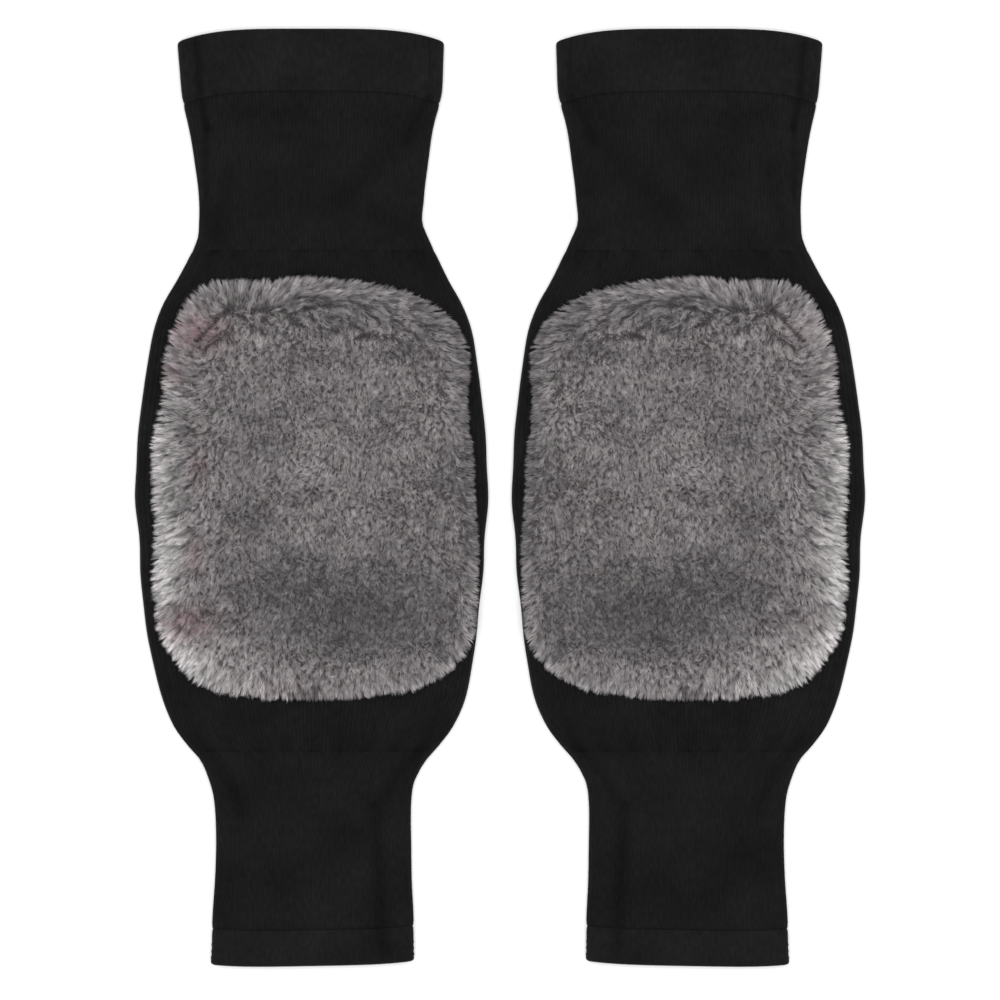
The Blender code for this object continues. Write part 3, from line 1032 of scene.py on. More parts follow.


# Short lines where the pile parts and its roots show; painted shade also darkens the strands along them, with
# a painted highlight at their sides.
PARTINGS = read_valleys((
    (-52.0, 94.0, -43.5, 99.5, 1.6, 2.4),
    (-44.0, 105.3, -33.0, 105.6, 0.5, 2.4),
    (-31.0, 99.6, -20.5, 101.0, 1.9, 2.6),
    (-17.5, 100.6, -12.0, 96.4, 1.7, 2.2),
    (-5.0, 100.0, 3.5, 101.3, 1.6, 2.3),
    (7.5, 103.2, 17.5, 102.0, 1.4, 2.4),
    (18.5, 104.8, 28.0, 101.8, 1.1, 2.2),
    (33.0, 105.2, 40.5, 102.2, 1.5, 2.0),
    (-33.0, 90.4, -25.0, 87.4, 1.4, 2.2),
    (-10.5, 93.6, -4.0, 90.6, 1.4, 2.2),
    (7.0, 89.4, 15.5, 87.4, 1.1, 2.6),
    (24.0, 84.8, 31.0, 86.2, 1.7, 2.6),
    (33.0, 86.6, 38.5, 83.6, 1.5, 2.0),
    (-63.5, 81.0, -54.0, 90.5, 2.2, 1.9),
    (-56.0, 79.5, -45.0, 87.0, 1.5, 1.9),
    (-71.0, 0.5, -61.0, 10.5, 1.2, 1.8),
    (-66.0, -18.5, -58.0, -12.5, 1.0, 1.7),
    (-66.0, -60.0, -58.0, -66.0, 1.0, 1.8),
    (56.0, 19.0, 60.0, 22.5, 1.5, 1.4),
    (-38.0, 97.5, -33.5, 93.5, 1.2, 1.8),
    (-26.0, 95.0, -20.5, 92.0, 1.1, 1.8),
    (-18.0, 88.5, -12.0, 86.0, 0.9, 1.8),
    (-3.5, 96.5, 3.0, 94.5, 1.2, 1.8),
    (11.0, 96.5, 17.5, 98.0, 0.8, 1.8),
    (20.5, 92.0, 26.0, 90.0, 1.3, 1.8),
    (30.5, 96.0, 36.0, 93.5, 1.2, 1.7),
    (42.0, 96.5, 47.5, 92.5, 1.0, 1.8),
    (43.0, 86.0, 48.5, 81.0, 1.1, 1.7),
    (53.0, 88.0, 58.0, 82.0, 0.9, 1.7),
    (62.0, 76.5, 67.5, 69.0, 1.2, 1.8),
    (66.0, 60.0, 70.5, 53.0, 1.1, 1.7),
    (-46.5, 86.0, -41.0, 82.0, 0.9, 1.8),
    (-70.5, 30.0, -62.5, 36.0, 1.0, 1.8),
    (-69.5, 18.0, -61.0, 24.5, 1.1, 1.8),
    (-72.0, -10.0, -63.5, -4.0, 1.1, 1.8),
    (-70.0, -27.0, -62.0, -21.5, 1.0, 1.8),
))


class ToneSpot(NamedTuple):
    """A soft spot where the pile's colour is made darker, paler or pinker."""

    middle: tuple[float, float]
    size: tuple[float, float]
    tone: float
    blush: float = 0.0


TONE_SPOTS = tuple(ToneSpot(row[:2], row[2:4], *row[4:]) for row in (
    (4.0, 0.0, 60.0, 80.0, -0.05),
    (40.0, 8.0, 44.0, 46.0, 0.21),
    (-6.0, 16.0, 26.0, 36.0, 0.27),
    (-50.0, 78.0, 20.0, 15.0, 0.25),
    (-44.0, 94.0, 16.0, 9.0, 0.36),
    (4.0, 66.0, 44.0, 24.0, 0.14),
    (-55.0, 18.0, 10.0, 42.0, 0.30),
    (48.0, 96.0, 16.0, 7.0, -0.12),
    (66.0, 50.0, 9.0, 16.0, 0.10),
    (58.0, 44.0, 14.0, 22.0, 0.24),
    (10.0, 103.2, 50.0, 6.0, -0.31),
    (32.0, -60.0, 34.0, 17.0, -0.34),
    (-8.0, -60.0, 26.0, 17.0, -0.12),
    (-46.0, -82.0, 26.0, 15.0, 0.39),
    (-60.0, -34.0, 12.0, 22.0, 0.22),
    (-10.0, -34.0, 16.0, 12.0, -0.09),
    (-20.0, 24.0, 11.0, 9.0, -0.15),
    (-19.0, 3.0, 12.0, 6.0, 0.12),
    (2.0, 34.0, 8.0, 20.0, 0.13),
    (4.0, -20.0, 16.0, 13.0, 0.11),
    (68.0, 2.0, 8.0, 20.0, -0.08),
    (-6.0, 85.0, 34.0, 8.0, 0.15),
    (-70.0, 14.0, 6.0, 26.0, 0.06),
    (2.0, -92.0, 34.0, 9.0, 0.27),
    (-59.0, 87.0, 14.0, 10.0, 0.0, 1.4),
    (-74.0, 66.0, 6.0, 6.0, 0.0, 0.7),
    (-60.5, 16.0, 5.0, 12.0, 0.0, 0.75),
    (-62.0, -30.0, 5.0, 10.0, 0.0, 0.9),
    (-66.0, -66.0, 15.0, 9.0, 0.0, 1.2),
    (-10.0, -101.0, 32.0, 6.0, 0.04, 0.3),
))


def read_round(values: np.ndarray, turn: np.ndarray) -> np.ndarray:
    """Reads even steps round a circle on a smooth closed curve.

    Args:
        values: one for each step, from the right and anticlockwise.
        turn: directions in radians.

    Returns:
        Numbers shaped as turn.
    """
    place = np.mod(turn, 2 * math.pi) / (2 * math.pi) * len(values)
    low = np.floor(place).astype(int)
    t = place - low
    before, start, end, after = (values[(low + k) % len(values)] for k in (-1, 0, 1, 2))
    bend = (2 * before - 5 * start + 4 * end - after) * t**2
    twist = (3 * start - before - 3 * end + after) * t**3
    return (2 * start + (end - before) * t + bend + twist) / 2


def edge_at(column: str, turn: np.ndarray) -> np.ndarray:
    """One column of the edge's table in each direction, in radians."""
    return read_round(np.array([getattr(row, column) for row in EDGES]), turn)


@dataclass(frozen=True)
class LockZone:
    """A part of the patch whose locks are of one kind.

    Attributes:
        name: the zone's name.
        near: where the zone starts, inwards from the bed's edge, in widths of the belt that lies over.
        far: where it ends.
        spacing: between neighbouring locks.
        fibres: strands drawn in each lock.
        length: of a strand over the bed.
        width: of a strand at its root, several fibres of the real pile wide.
        meet: how much a lock's strands draw together at its tip.
        stray: how much each strand leaves its lock's direction.
        tuft: between neighbouring tufts, each of several locks.
        draw_in: how much a tuft's locks lean together.
        streak: how much longer tufts are outwards than along the edge, from 0 to 1.
        lines: how dark the painted shade is in the lines between tufts.
        tones: how much the tufts differ in tone.
        unruly: how much each lock leaves the brushed direction.
        uneven: how much the strands differ in tone.
        seed: picks the random draws.
    """

    name: str
    near: float
    far: float
    spacing: float
    fibres: int
    length: float
    width: float
    meet: float
    stray: float
    tuft: float
    draw_in: float
    streak: float
    lines: float
    tones: float
    unruly: float
    uneven: float
    seed: int


@dataclass(frozen=True)
class PlushPatch:
    """The plush panel sewn on the front of the knee, with its bed of pile and its locks."""

    middle: tuple[float, float] = (1.5, 5.3)
    half_span: tuple[float, float] = (92.0, 122.0)  # of the field that locks are scattered over
    jitter: float = 0.45  # how far a place strays from its even grid, in pitches
    sewn_gap: float = 0.3
    bed_height: float = 5.8
    bed_round: float = 7.0
    bed_inset: float = 0.05  # inside the outline, so that nothing of it shows past the strands
    bed_parted: float = 0.6  # how deep a parting goes into the bed, beside its depth
    bed_lumps: Waves = Waves(0.3, 9.0, 31)
    bed_spokes: int = 96
    bed_rings: int = 22
    bed_under: int = 4  # rings of its underside
    bed_close: float = 1.5  # how much closer its rings lie at the rim
    bed_middle: float = 0.02  # where its rings end, in shares of the reach
    root_depth: float = 0.8  # that strands start below the bed's surface
    rim_roots: float = 2.5  # from the bed's edge inwards, where strands start lower still
    lock_span: float = 0.75  # from a lock's middle to its outermost strand, in spacings
    lock_lengths: Waves = Waves(0.06, 12.0, 61)
    lock_shades: Waves = Waves(0.03, 22.0, 62)
    lock_odd: tuple[float, float] = (0.08, 0.65)  # how much locks differ in length, and in shade
    cut: tuple[float, float] = (0.8, 1.1)  # the shortest and longest strand of a lock
    cut_round: float = 0.1  # how much shorter its outer strands are
    shortest: float = 2.0
    steepest: float = 0.15  # the least way outwards that a strand is cut by
    width_odd: tuple[float, float] = (0.75, 1.25)  # the narrowest and widest strand, in widths
    facing_odd: float = 0.25  # how unevenly the strands' ridges face up
    wander: Waves = Waves(0.8, 9.0, 64)  # of the strands' reach, in and out of the outline
    ragged: float = 0.45  # how much each strand differs in that
    clear: float = 0.4  # that strands keep from the knit
    blend: float = 0.25  # over which one zone of locks gives way to the next, in belt widths
    belt_edge: Waves = Waves(0.14, 17.0, 44)  # of the belt's inner edge
    belt_fade: tuple[float, float] = (-0.5, 1.9)  # where its lie gives way, in belt widths
    long_fade: tuple[float, float] = (0.6, 1.8)  # where its strands' length does
    pale_fade: float = 1.15  # where its pale tips end
    splay: float = 0.7  # how far the outermost strands lie outwards
    splay_width: float = 5.0
    fall: float = 0.4  # how far the middle's pile lies down the leg
    stroked: tuple[Waves, Waves] = (Waves(0.16, 46.0, 41), Waves(0.16, 38.0, 43))  # in the middle
    swirl: tuple[Waves, Waves] = (Waves(0.13, 11.0, 42), Waves(0.13, 11.0, 45))  # all over
    part_lean: float = 0.25  # how far the pile leans away from a parting
    part_bent: tuple[Waves, Waves] = (Waves(0.8, 5.0, 66), Waves(0.8, 5.0, 67))
    part_painted_shade: float = 0.78  # painted shade: how much darker the strands are coloured in a parting a millimetre deep
    part_core: float = 0.34  # half the width of that painted shade, in widths of the parting
    part_tip: float = 0.6  # how much of that painted shade reaches the strands' tips
    part_painted_highlight: float = 0.13  # painted highlight: how much paler the strands are coloured along a parting's sides, where they lie over
    part_side: tuple[float, float] = (1.0, 0.5)  # how far off that is, and half as wide, in its widths
    blunt: float = 0.3  # how pointed the locks are where they hardly lie over
    blunt_lie: tuple[float, float] = (1.1, 1.4)  # where they turn from blunt to pointed
    blunt_belt: float = 1.5  # how far inwards that goes, in belt widths
    lie_most: float = 1.12  # how far a lock's middle strand lies over, beside its lock
    rise: float = 0.4  # how much more a lock's outer strands stand up than its middle one
    tuft_loose: float = 0.4  # how much a tuft keeps from its neighbours at the very edge
    tuft_line: tuple[float, float] = (0.2, 0.5)  # from a tuft's middle, in pitches, to its line
    calm: float = 5.0  # from the edge inwards, where the locks lie too close for tufts
    ruffle_shade: float = 1.2  # painted shade: how much darker the lines between tufts are in the band under the upper edge
    ruffle_shade_at: tuple[float, float] = (95.0, 9.0)  # that band's middle and half its width
    ruffle_shade_from: tuple[float, float] = (6.0, 12.0)  # from the edge inwards, where it sets in
    gap_shade_in: float = 0.9  # of the reach, within which the painted gaps lie
    gape_count: int = 200
    gape_size: float = 0.8
    gape_odd: tuple[float, float] = (0.7, 1.3)  # the smallest and largest, in sizes
    gape_long: tuple[float, float] = (1.0, 2.6)  # the roundest and longest, in its own widths
    gape_deep: tuple[float, float] = (0.4, 1.0)
    gape_seed: int = 71
    # painted shade: how much darker the strands are coloured at a painted gap in the pile
    gape_painted_shade: float = 0.42
    shades: tuple[float, float] = (0.35, 1.7)  # the darkest and the palest
    blush_waves: Waves = Waves(0.5, 7.0, 63)
    blush_least: float = 0.75
    pale_waves: Waves = Waves(0.25, 6.0, 65)
    faint: float = 0.2  # how much of the left warmer's blush the right one has
    seen: float = 0.65  # where along a strand its part that shows lies
    readings: int = 720  # round the outline
    zones: tuple[LockZone, ...] = tuple(LockZone(*row) for row in (
        ("fur_border", 0.0, 1.0, 1.4, 11, 7.4, 0.38, 0.7, 0.13, 4.2, 0.8, 0.9, 0.56, 0.20, 0.25, 0.25, 21),
        ("fur_shoulder", 1.0, 2.2, 1.4, 9, 6.4, 0.41, 0.7, 0.13, 3.6, 0.55, 0.7, 0.36, 0.12, 0.24, 0.20, 22),
        ("fur_crown", 2.2, 99.0, 1.5, 10, 5.6, 0.43, 0.6, 0.14, 3.2, 0.35, 0.0, 0.16, 0.07, 0.22, 0.14, 23),
    ))

    def reach(self, turn: np.ndarray) -> np.ndarray:
        """How far the fur reaches in each direction, in radians from the right."""
        return edge_at("out", turn)

    def inside(self, x: np.ndarray, y: np.ndarray) -> tuple[np.ndarray, np.ndarray]:
        """Where places lie in the patch.

        Args:
            x: places across.
            y: places up the leg.

        Returns:
            How far each lies inside the fur's outline, and the outline's outward normal there.
        """
        dx, dy = x - self.middle[0], y - self.middle[1]
        turn, out = np.arctan2(dy, dx), np.hypot(dx, dy)
        step = 0.02
        reach = self.reach(turn)
        slope = (self.reach(turn + step) - self.reach(turn - step)) / (2 * step) / reach
        length = np.sqrt(1 + slope**2)
        nx = (np.cos(turn) + slope * np.sin(turn)) / length
        ny = (np.sin(turn) - slope * np.cos(turn)) / length
        return (reach - out) / length, np.stack([nx, ny], -1)

    def edge(self, x: np.ndarray, y: np.ndarray, column: str) -> np.ndarray:
        """One column of the edge's table, read in the direction of each place."""
        return edge_at(column, np.arctan2(y - self.middle[1], x - self.middle[0]))

    def on_bed(self, x: np.ndarray, y: np.ndarray) -> np.ndarray:
        """How far places lie inside the bed's edge."""
        return self.inside(x, y)[0] - self.edge(x, y, "overhang")

    def belt(self, x: np.ndarray, y: np.ndarray) -> np.ndarray:
        """How far places lie inside the bed's edge, in widths of the belt that lies over."""
        return self.on_bed(x, y) / self.edge(x, y, "belt")

    def bed(self, x: np.ndarray, y: np.ndarray, leg: KnitLeg, wall: float) -> np.ndarray:
        """How high the bed of pile stands over the floor.

        Args:
            x: places across.
            y: places up the leg.
            leg: the form of the knit under it.
            wall: the knit's thickness.

        Returns:
            Heights, shaped as x.
        """
        t = np.clip(self.on_bed(x, y) / self.bed_round, 0, 1)
        rise = np.sqrt(1 - (1 - t) ** 2)
        parted = self.bed_parted * np.maximum.reduce([trough(p, x, y) for p in PARTINGS])
        lumps = self.bed_lumps.at(x, y) * t
        return leg.front_height(x, y, wall) + self.sewn_gap + self.bed_height * rise - parted * t + lumps

    def bed_skin(self, leg: KnitLeg, wall: float) -> Skin:
        """The bed as one closed form.

        Args:
            leg: the form of the knit under it.
            wall: the knit's thickness.

        Returns:
            Its mesh.
        """
        turn = np.linspace(0, 2 * math.pi, self.bed_spokes, endpoint=False)
        outline = self.reach(turn)
        rim = 1 - (edge_at("overhang", turn) + self.bed_inset) / outline
        fall = np.linspace(0, 1, self.bed_rings)[:, None]
        top = rim - (rim - self.bed_middle) * fall**self.bed_close
        under = np.linspace(self.bed_middle, 1, self.bed_under + 1)[:-1, None] * rim
        share = np.concatenate([under, top])
        x = self.middle[0] + np.cos(turn) * outline * share
        y = self.middle[1] + np.sin(turn) * outline * share
        z = self.bed(x, y, leg, wall)
        z[: len(under)] = leg.front_height(x, y, wall)[: len(under)] + self.sewn_gap
        corners = closed_grid(*z.shape)
        turned = corners[:1] + corners[:0:-1]  # its rings run inwards, so its faces turn the other way
        faces = np.stack([row * z.shape[1] + spoke for row, spoke in turned], -1).reshape(-1, 4)
        return Skin(np.stack([x, y, z], -1).reshape(-1, 3), faces)

    def lean(self, x: np.ndarray, y: np.ndarray) -> np.ndarray:
        """Which way the pile is brushed, and how far it lies over.

        Args:
            x: places across.
            y: places up the leg.

        Returns:
            (n, 2) leans: 0 stands upright and 1 lies at half a right angle.
        """
        belt = self.belt(x, y) + self.belt_edge.at(x, y)
        edged = (1 - smooth_step(*self.belt_fade, belt))[..., None]
        rim = np.stack([self.edge(x, y, "lean_x"), self.edge(x, y, "lean_y")], -1)
        crown = np.stack([waves.at(x, y) for waves in self.stroked], -1) - (0, self.fall)
        swirl = np.stack([waves.at(x, y) for waves in self.swirl], -1)
        splay = self.splay * (1 - smooth_step(0.0, self.splay_width, self.on_bed(x, y)))[..., None]
        total = rim * edged + crown * (1 - edged) + swirl + self.inside(x, y)[1] * splay
        for parting in PARTINGS:
            off = np.stack(from_line(parting, x, y), -1) / parting.width
            way = unit(np.array(parting.end) - np.array(parting.start))
            across = off[..., :1] * -way[1] + off[..., 1:] * way[0]
            away = across * np.exp(-(off**2).sum(-1, keepdims=True) / 2)
            total += self.part_lean * parting.depth * away * np.array([-way[1], way[0]])
        return total

    def pale(self, x: np.ndarray, y: np.ndarray) -> np.ndarray:
        """How pale the tips are near the patch's edge, or how dark below 0.

        Args:
            x: places across.
            y: places up the leg.

        Returns:
            Numbers as in the edge's table, and 0 inside the belt.
        """
        return self.edge(x, y, "pale") * (1 - smooth_step(0.0, self.pale_fade, self.belt(x, y)))

    def scatter(self, pitch: float, draw: np.random.Generator) -> tuple[np.ndarray, np.ndarray]:
        """Places spread evenly but irregularly over the patch.

        Args:
            pitch: between neighbours.
            draw: the source of the irregularity.

        Returns:
            Places across and up the leg.
        """
        wide, long = self.half_span
        rows, columns = np.arange(-long, long, pitch * math.sqrt(3) / 2), np.arange(-wide, wide, pitch)
        row, column = np.meshgrid(rows, columns, indexing="ij")
        column = column + (np.arange(len(row)) % 2)[:, None] * pitch / 2
        x = self.middle[0] + (column + draw.uniform(-self.jitter, self.jitter, row.shape) * pitch).ravel()
        y = self.middle[1] + (row + draw.uniform(-self.jitter, self.jitter, row.shape) * pitch).ravel()
        return x, y

    def tufted(
        self, x: np.ndarray, y: np.ndarray, way: np.ndarray, zone: LockZone, tufts: np.ndarray
    ) -> tuple[np.ndarray, np.ndarray, np.ndarray]:
        """The tuft that each place belongs to; tufts are long in the way the pile lies.

        Args:
            x: places across.
            y: places up the leg.
            way: (n, 2) unit ways that the pile lies there.
            zone: how long its tufts are.
            tufts: (2, m) middles of the tufts.

        Returns:
            Each place's tuft, the way to its middle and how much it keeps from its neighbours.
        """
        nearest = np.empty(len(x), int)
        batch, reach = 500, 4 * zone.tuft
        for start in range(0, len(x), batch):
            part = slice(start, start + batch)
            low, high = y[part].min() - reach, y[part].max() + reach
            close = np.flatnonzero((tufts[1] > low) & (tufts[1] < high))
            dx, dy = tufts[0, close] - x[part, None], tufts[1, close] - y[part, None]
            along = dx * way[part, :1] + dy * way[part, 1:]
            nearest[part] = close[np.argmin(dx**2 + dy**2 - zone.streak * along**2, axis=1)]
        to = tufts[:, nearest].T - np.stack([x, y], -1)
        to -= zone.streak * (to * way).sum(-1, keepdims=True) * way
        loose = smooth_step(0.0, self.calm, self.on_bed(x, y))
        return nearest, to, self.tuft_loose + (1 - self.tuft_loose) * loose

    def tuft_shade(
        self, x: np.ndarray, y: np.ndarray, way: np.ndarray, zone: LockZone, tufts: np.ndarray,
        tones: np.ndarray,
    ) -> np.ndarray:
        """How light the tufts are, with painted shade in the lines between them.

        Args:
            x: places across.
            y: places up the leg.
            way: (n, 2) unit ways that the pile lies there.
            zone: how dark its lines are.
            tufts: (2, m) middles of the tufts.
            tones: how much each tuft differs.

        Returns:
            Shades of about 1.
        """
        nearest, to, loose = self.tufted(x, y, way, zone, tufts)
        parted = smooth_step(*self.tuft_line, np.hypot(*to.T) / zone.tuft)
        ruffled = np.exp(-(((y - self.ruffle_shade_at[0]) / self.ruffle_shade_at[1]) ** 2))
        ruffled *= smooth_step(*self.ruffle_shade_from, self.on_bed(x, y))
        # painted shade: the strands in the lines between tufts are coloured darker
        return 1 + zone.tones * tones[nearest] - zone.lines * parted * loose * (1 + self.ruffle_shade * ruffled)

    def parted(self, x: np.ndarray, y: np.ndarray) -> np.ndarray:
        """The painted shade that darkens the pile in a parting, and the painted highlight that makes it paler
        at its sides.

        Args:
            x: places across.
            y: places up the leg.

        Returns:
            Numbers below 0 where it is darker and above where it is paler.
        """
        total = np.zeros(len(x))
        x, y = x + self.part_bent[0].at(x, y), y + self.part_bent[1].at(x, y)
        for parting in PARTINGS:
            apart = np.hypot(*from_line(parting, x, y)) / parting.width
            dark = np.exp(-((apart / self.part_core) ** 2))
            light = np.exp(-(((apart - self.part_side[0]) / self.part_side[1]) ** 2))
            total += parting.depth * (self.part_painted_highlight * light - self.part_painted_shade * dark)
        return total

    def gap_shade(self, x: np.ndarray, y: np.ndarray) -> np.ndarray:
        """Where small gaps in the pile are painted: how much the strands there are darkened, as if their
        shaded roots showed.

        Args:
            x: places across.
            y: places up the leg.

        Returns:
            Numbers from 0 to 1.
        """
        draw = np.random.default_rng(self.gape_seed)
        total = np.zeros(len(x))
        for _ in range(self.gape_count):
            turn, out = draw.uniform(0, 2 * math.pi), self.gap_shade_in * math.sqrt(draw.uniform())
            tilt, long = draw.uniform(0, math.pi), draw.uniform(*self.gape_long)
            out *= float(self.reach(np.array(turn)))
            dx = x - self.middle[0] - math.cos(turn) * out
            dy = y - self.middle[1] - math.sin(turn) * out
            along = dx * math.cos(tilt) + dy * math.sin(tilt)
            across = dy * math.cos(tilt) - dx * math.sin(tilt)
            size = self.gape_size * draw.uniform(*self.gape_odd)
            deep = draw.uniform(*self.gape_deep)
            total = np.maximum(total, deep * np.exp(-((along / long) ** 2 + across**2) / size**2))
        return total

    def plant(self, zone: LockZone, draw: np.random.Generator) -> tuple[np.ndarray, np.ndarray]:
        """Where a zone's locks grow.

        Args:
            zone: which part of the patch.
            draw: the source of the irregularity.

        Returns:
            Places across and up the leg.
        """
        x, y = self.scatter(zone.spacing, draw)
        belt, least = self.belt(x, y), 0.01
        blended = np.maximum(belt + self.blend * draw.normal(size=len(x)), least)
        kept = (belt > 0) & (blended > zone.near) & (blended < zone.far)
        return x[kept], y[kept]

    def stroke(
        self, x: np.ndarray, y: np.ndarray, tone: np.ndarray
    ) -> tuple[np.ndarray, np.ndarray]:
        """Adds the spots of darker, paler or pinker colour.

        Args:
            x: places across.
            y: places up the leg.
            tone: how light the pile is there without them.

        Returns:
            How light it is with them, and how pink.
        """
        tone, blush = tone.copy(), np.zeros(len(x))
        for spot in TONE_SPOTS:
            apart = ((x - spot.middle[0]) / spot.size[0]) ** 2 + ((y - spot.middle[1]) / spot.size[1]) ** 2
            tone += spot.tone * np.exp(-apart)
            blush += spot.blush * np.exp(-apart)
        return tone, blush

    def strands(self, zone: LockZone, leg: KnitLeg, wall: float, pink: float) -> Skin:
        """The strands of one zone: narrow tapered blades with a ridge, in locks that meet at their tips.

        Args:
            zone: which part of the patch.
            leg: the form of the knit under it.
            wall: the knit's thickness.
            pink: how much of the blush shows.

        Returns:
            All strands as one mesh.
        """
        draw = np.random.default_rng(zone.seed)
        x, y = self.plant(zone, draw)
        locks, count = len(x), len(x) * zone.fibres
        each = partial(np.repeat, repeats=zone.fibres, axis=0)  # a lock's number, for each of its strands

        tufts = np.array(self.scatter(zone.tuft, draw))
        tones = draw.normal(size=tufts.shape[1])
        brushed = self.lean(x, y)
        _, to, loose = self.tufted(x, y, unit(brushed), zone, tufts)
        pull = zone.draw_in * to * loose[:, None] / zone.length
        lean = brushed + pull + draw.normal(0, zone.unruly, (locks, 2))
        belt = self.belt(x, y)
        long = 1 + (self.edge(x, y, "long") - 1) * (1 - smooth_step(*self.long_fade, belt))
        odd_length, odd_shade = self.lock_odd
        uneven = 1 + odd_length * draw.normal(size=locks) + self.lock_lengths.at(x, y)
        lock_length = zone.length * long * uneven
        lock_shade = 1 + odd_shade * zone.uneven * draw.normal(size=locks) + self.lock_shades.at(x, y)

        turn, out = draw.uniform(0, 2 * math.pi, count), np.sqrt(draw.uniform(0, 1, count))
        off = np.stack([np.cos(turn), np.sin(turn)], -1) * out[:, None] * zone.spacing * self.lock_span
        root_x, root_y = (each(np.stack([x, y], -1)) + off).T
        deep, outward = self.inside(root_x, root_y)
        lying = each(lean) * (self.lie_most - self.rise * out[:, None])
        lying = lying + draw.normal(0, zone.stray, (count, 2))
        way = unit(np.concatenate([lying, np.ones((count, 1))], -1))
        length = each(lock_length) * draw.uniform(*self.cut, count) * (1 - self.cut_round * out)
        room = deep + self.wander.at(root_x, root_y) + draw.normal(0, self.ragged, count)
        travel = np.maximum((way[:, :2] * outward).sum(-1), self.steepest)
        length = np.clip(np.minimum(length, room / travel), self.shortest, None)
        root_z = self.bed(root_x, root_y, leg, wall)
        ground = leg.front_height(root_x, root_y, wall) + self.clear
        edge = 1 - smooth_step(0.0, self.rim_roots, self.on_bed(root_x, root_y))
        root_z = root_z - edge * draw.uniform(0, 1, count) * (root_z - ground) - self.root_depth
        root = np.stack([root_x, root_y, np.maximum(root_z, ground)], -1)
        tip = root + way * (length + self.root_depth)[:, None]
        pointed = smooth_step(*self.blunt_lie, self.edge(root_x, root_y, "lie"))
        pointed = self.blunt + (1 - self.blunt) * pointed
        pointed = np.where(each(belt) < self.blunt_belt, pointed, 1.0)
        tip[:, :2] -= off * zone.meet * pointed[:, None]
        tip[:, 2] = np.maximum(tip[:, 2], leg.front_height(tip[:, 0], tip[:, 1], wall) + self.clear)

        way = unit(tip - root)
        up = np.array([0.0, 0.0, 1.0]) + draw.normal(0, self.facing_odd, (count, 3))
        up = unit(up - way * (up * way).sum(-1, keepdims=True))
        half = zone.width / 2 * draw.uniform(*self.width_odd, count)[:, None]
        beside = np.cross(way, up) * half
        foot, ridge = root - up * half / 2, root + up * half
        points = np.stack([foot - beside, ridge, foot + beside, tip], 1)
        faces = np.arange(count)[:, None, None] * 4 + np.array([[0, 1, 3], [1, 2, 3]])

        seen_x, seen_y, _ = (root + self.seen * (tip - root)).T
        tone = self.tuft_shade(seen_x, seen_y, each(unit(brushed)), zone, tufts, tones)
        tone, blush = self.stroke(seen_x, seen_y, tone)
        blush *= self.blush_least + self.blush_waves.at(root_x, root_y)
        pale = self.pale(root_x, root_y) * (1 + self.pale_waves.at(root_x, root_y))
        shade = each(lock_shade) * (1 + zone.uneven * draw.normal(size=count)) * tone
        shade *= (1 + np.minimum(pale, 0)) * (1 - self.gape_painted_shade * self.gap_shade(seen_x, seen_y))
        parted = self.parted(seen_x, seen_y)[:, None] * np.array([1.0, 1.0, 1.0, self.part_tip])
        facts = {
            "height": np.tile([0.0, 0.0, 0.0, 1.0], count),
            "shade": np.clip(shade[:, None] * (1 + parted), *self.shades).ravel(),
            "frost": np.repeat(np.clip(pale, 0, 1), 4),
            "blush": np.repeat(np.clip(pink * blush, 0, 1), 4),
        }
        return Skin(points.reshape(-1, 3), faces.reshape(-1, 3), None, facts)

    def build(
        self, leg: KnitLeg, wall: float, side: Side, axis: float, bed: bpy.types.Material,
        fur: bpy.types.Material,
    ) -> list[bpy.types.Object]:
        """Makes the patch, in place of its CAD node.

        Args:
            leg: the form of the knit under it.
            wall: the knit's thickness.
            side: which warmer it is for.
            axis: how far the warmer's axis lies from the pair's middle.
            bed: the bed's material.
            fur: the locks' material.

        Returns:
            The bed and the zones of locks.
        """
        base = make_piece("plush_bed", self.bed_skin(leg, wall), side, axis, bed)
        pink = 1.0 if side is Side.LEFT else self.faint
        skins = {zone.name: self.strands(zone, leg, wall, pink) for zone in self.zones}
        zones = [make_piece(name, skin, side, axis, fur) for name, skin in skins.items()]
        for piece in (base, *zones):
            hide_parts(f"{side.label}_fur_patch")
        turn = np.linspace(0, 2 * math.pi, self.readings, endpoint=False)
        out = self.reach(turn) - edge_at("overhang", turn)
        return [base, *zones]


# ------------------------------------------------------------------------------------------------
# The pair and the studio
# ------------------------------------------------------------------------------------------------


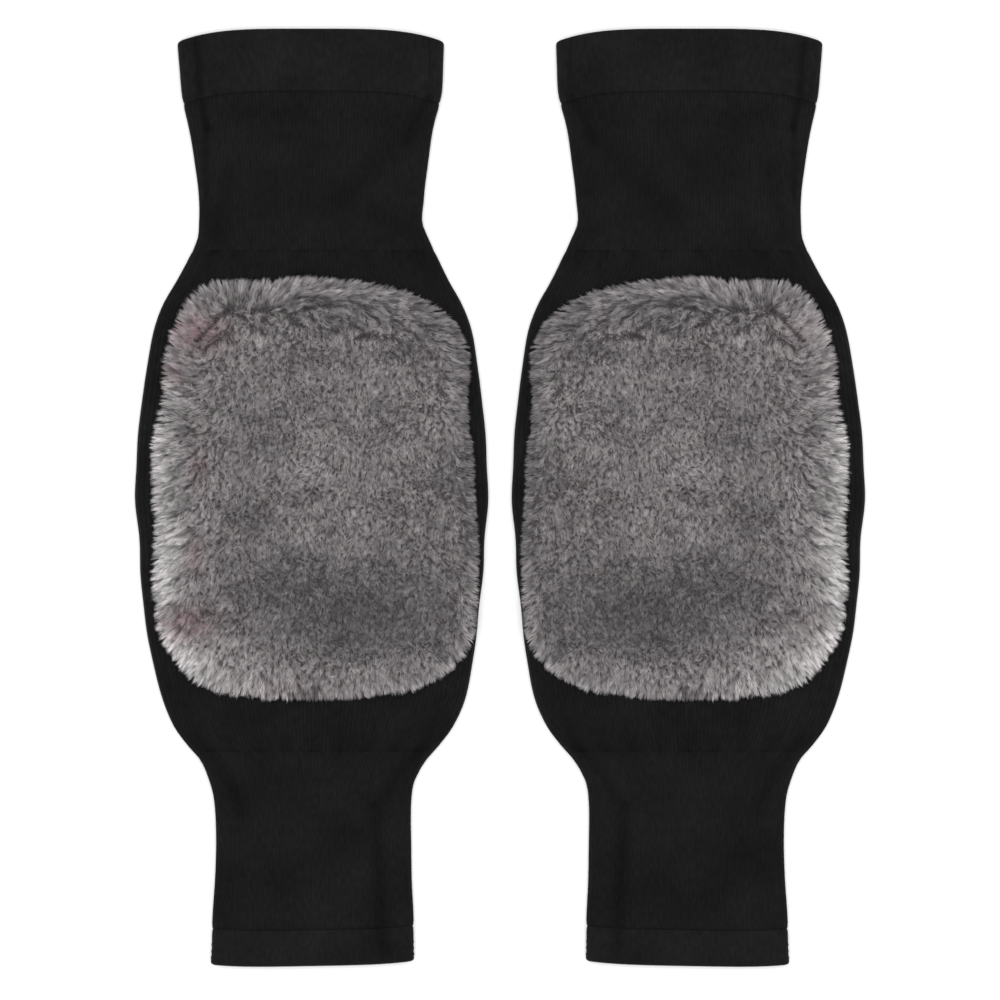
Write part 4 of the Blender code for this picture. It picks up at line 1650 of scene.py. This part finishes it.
@dataclass(frozen=True)
class KneeWarmer:
    """One warmer: its knit tube and its plush patch."""

    side: Side
    leg: KnitLeg
    patch: PlushPatch

    def axis(self) -> float:
        """How far the warmer's axis lies from the pair's middle, read from its knee in the frame.

        Returns:
            The distance in millimetres.
        """
        low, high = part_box(f"{self.side.label}_knee_tube")
        widest = max(STATIONS, key=lambda station: station.half)
        return abs((low.x + high.x) / 2) / MM + widest.lean

    def build(
        self, knit: bpy.types.Material, doubled: bpy.types.Material, bed: bpy.types.Material,
        fur: bpy.types.Material,
    ) -> None:
        """Makes the warmer's pieces and reports each one.

        Args:
            knit: the knit's material.
            doubled: the doubled bands' material.
            bed: the plush bed's material.
            fur: the plush locks' material.
        """
        axis = self.axis()
        knee = next(s for s in STRETCHES if s.name == "knee_tube")
        pieces = [s.build(self.leg, self.side, axis, doubled if s.doubled else knit) for s in STRETCHES]
        pieces += self.patch.build(self.leg, knee.wall, self.side, axis, bed, fur)
        for piece in pieces:
            piece.data.calc_loop_triangles()
            log.info("%s: %d triangles", piece.name, len(piece.data.loop_triangles))


@dataclass(frozen=True)
class Studio:
    """A white floor under soft light, seen from straight above."""

    view_width: float = 534.0  # of the floor, across the picture; the pair lies a little nearer
    view_middle: tuple[float, float] = (0.0, -1.2)
    camera_height: float = 2600.0
    camera_sees: tuple[float, float] = (0.1, 20.0)  # metres, nearest and farthest
    sensor: float = 36.0
    floor_size: float = 9000.0
    floor_drop: float = 0.2  # keeps the floor clear of the cloth that lies on it
    key_height: float = 3200.0
    key_size: float = 2600.0  # across its disc
    key_power: float = 60.0  # watts
    sky: float = 0.85

    def build(self, paper: bpy.types.Material) -> None:
        """Makes the floor, the lights and the camera.

        Args:
            paper: the floor's material.
        """
        scene = bpy.context.scene
        half = self.floor_size / 2 * MM
        mesh = bpy.data.meshes.new("floor")
        corners = [(-half, -half, 0), (half, -half, 0), (half, half, 0), (-half, half, 0)]
        mesh.from_pydata(corners, [], [(0, 1, 2, 3)])
        mesh.materials.append(paper)
        floor = add_object("floor", mesh, (0, 0, -self.floor_drop))

        light = bpy.data.lights.new("key", "AREA")
        light.shape = "DISK"
        light.size = self.key_size * MM
        light.energy = self.key_power
        add_object("key", light, (0, 0, self.key_height))

        scene.world = bpy.data.worlds.new("soft_sky")
        scene.world.use_nodes = True
        sky = scene.world.node_tree.nodes["Background"].inputs
        sky["Color"].default_value, sky["Strength"].default_value = (1, 1, 1, 1), self.sky
        scene.view_settings.view_transform = "Standard"

        lens = bpy.data.cameras.new("camera")
        lens.sensor_width = self.sensor
        lens.lens = self.sensor * self.camera_height / self.view_width
        lens.clip_start, lens.clip_end = self.camera_sees
        scene.camera = add_object("camera", lens, (*self.view_middle, self.camera_height))


def main() -> None:
    """Builds the pair and the studio."""
    finishes = [finish.make() for finish in (RibKnit(), DOUBLED_KNIT, PileBed(), PlushLocks())]
    leg, patch = KnitLeg(), PlushPatch()
    for side in Side:
        KneeWarmer(side, leg, patch).build(*finishes)
    Studio().build(MattFloor().make())


if __name__ == "__main__":
    main()
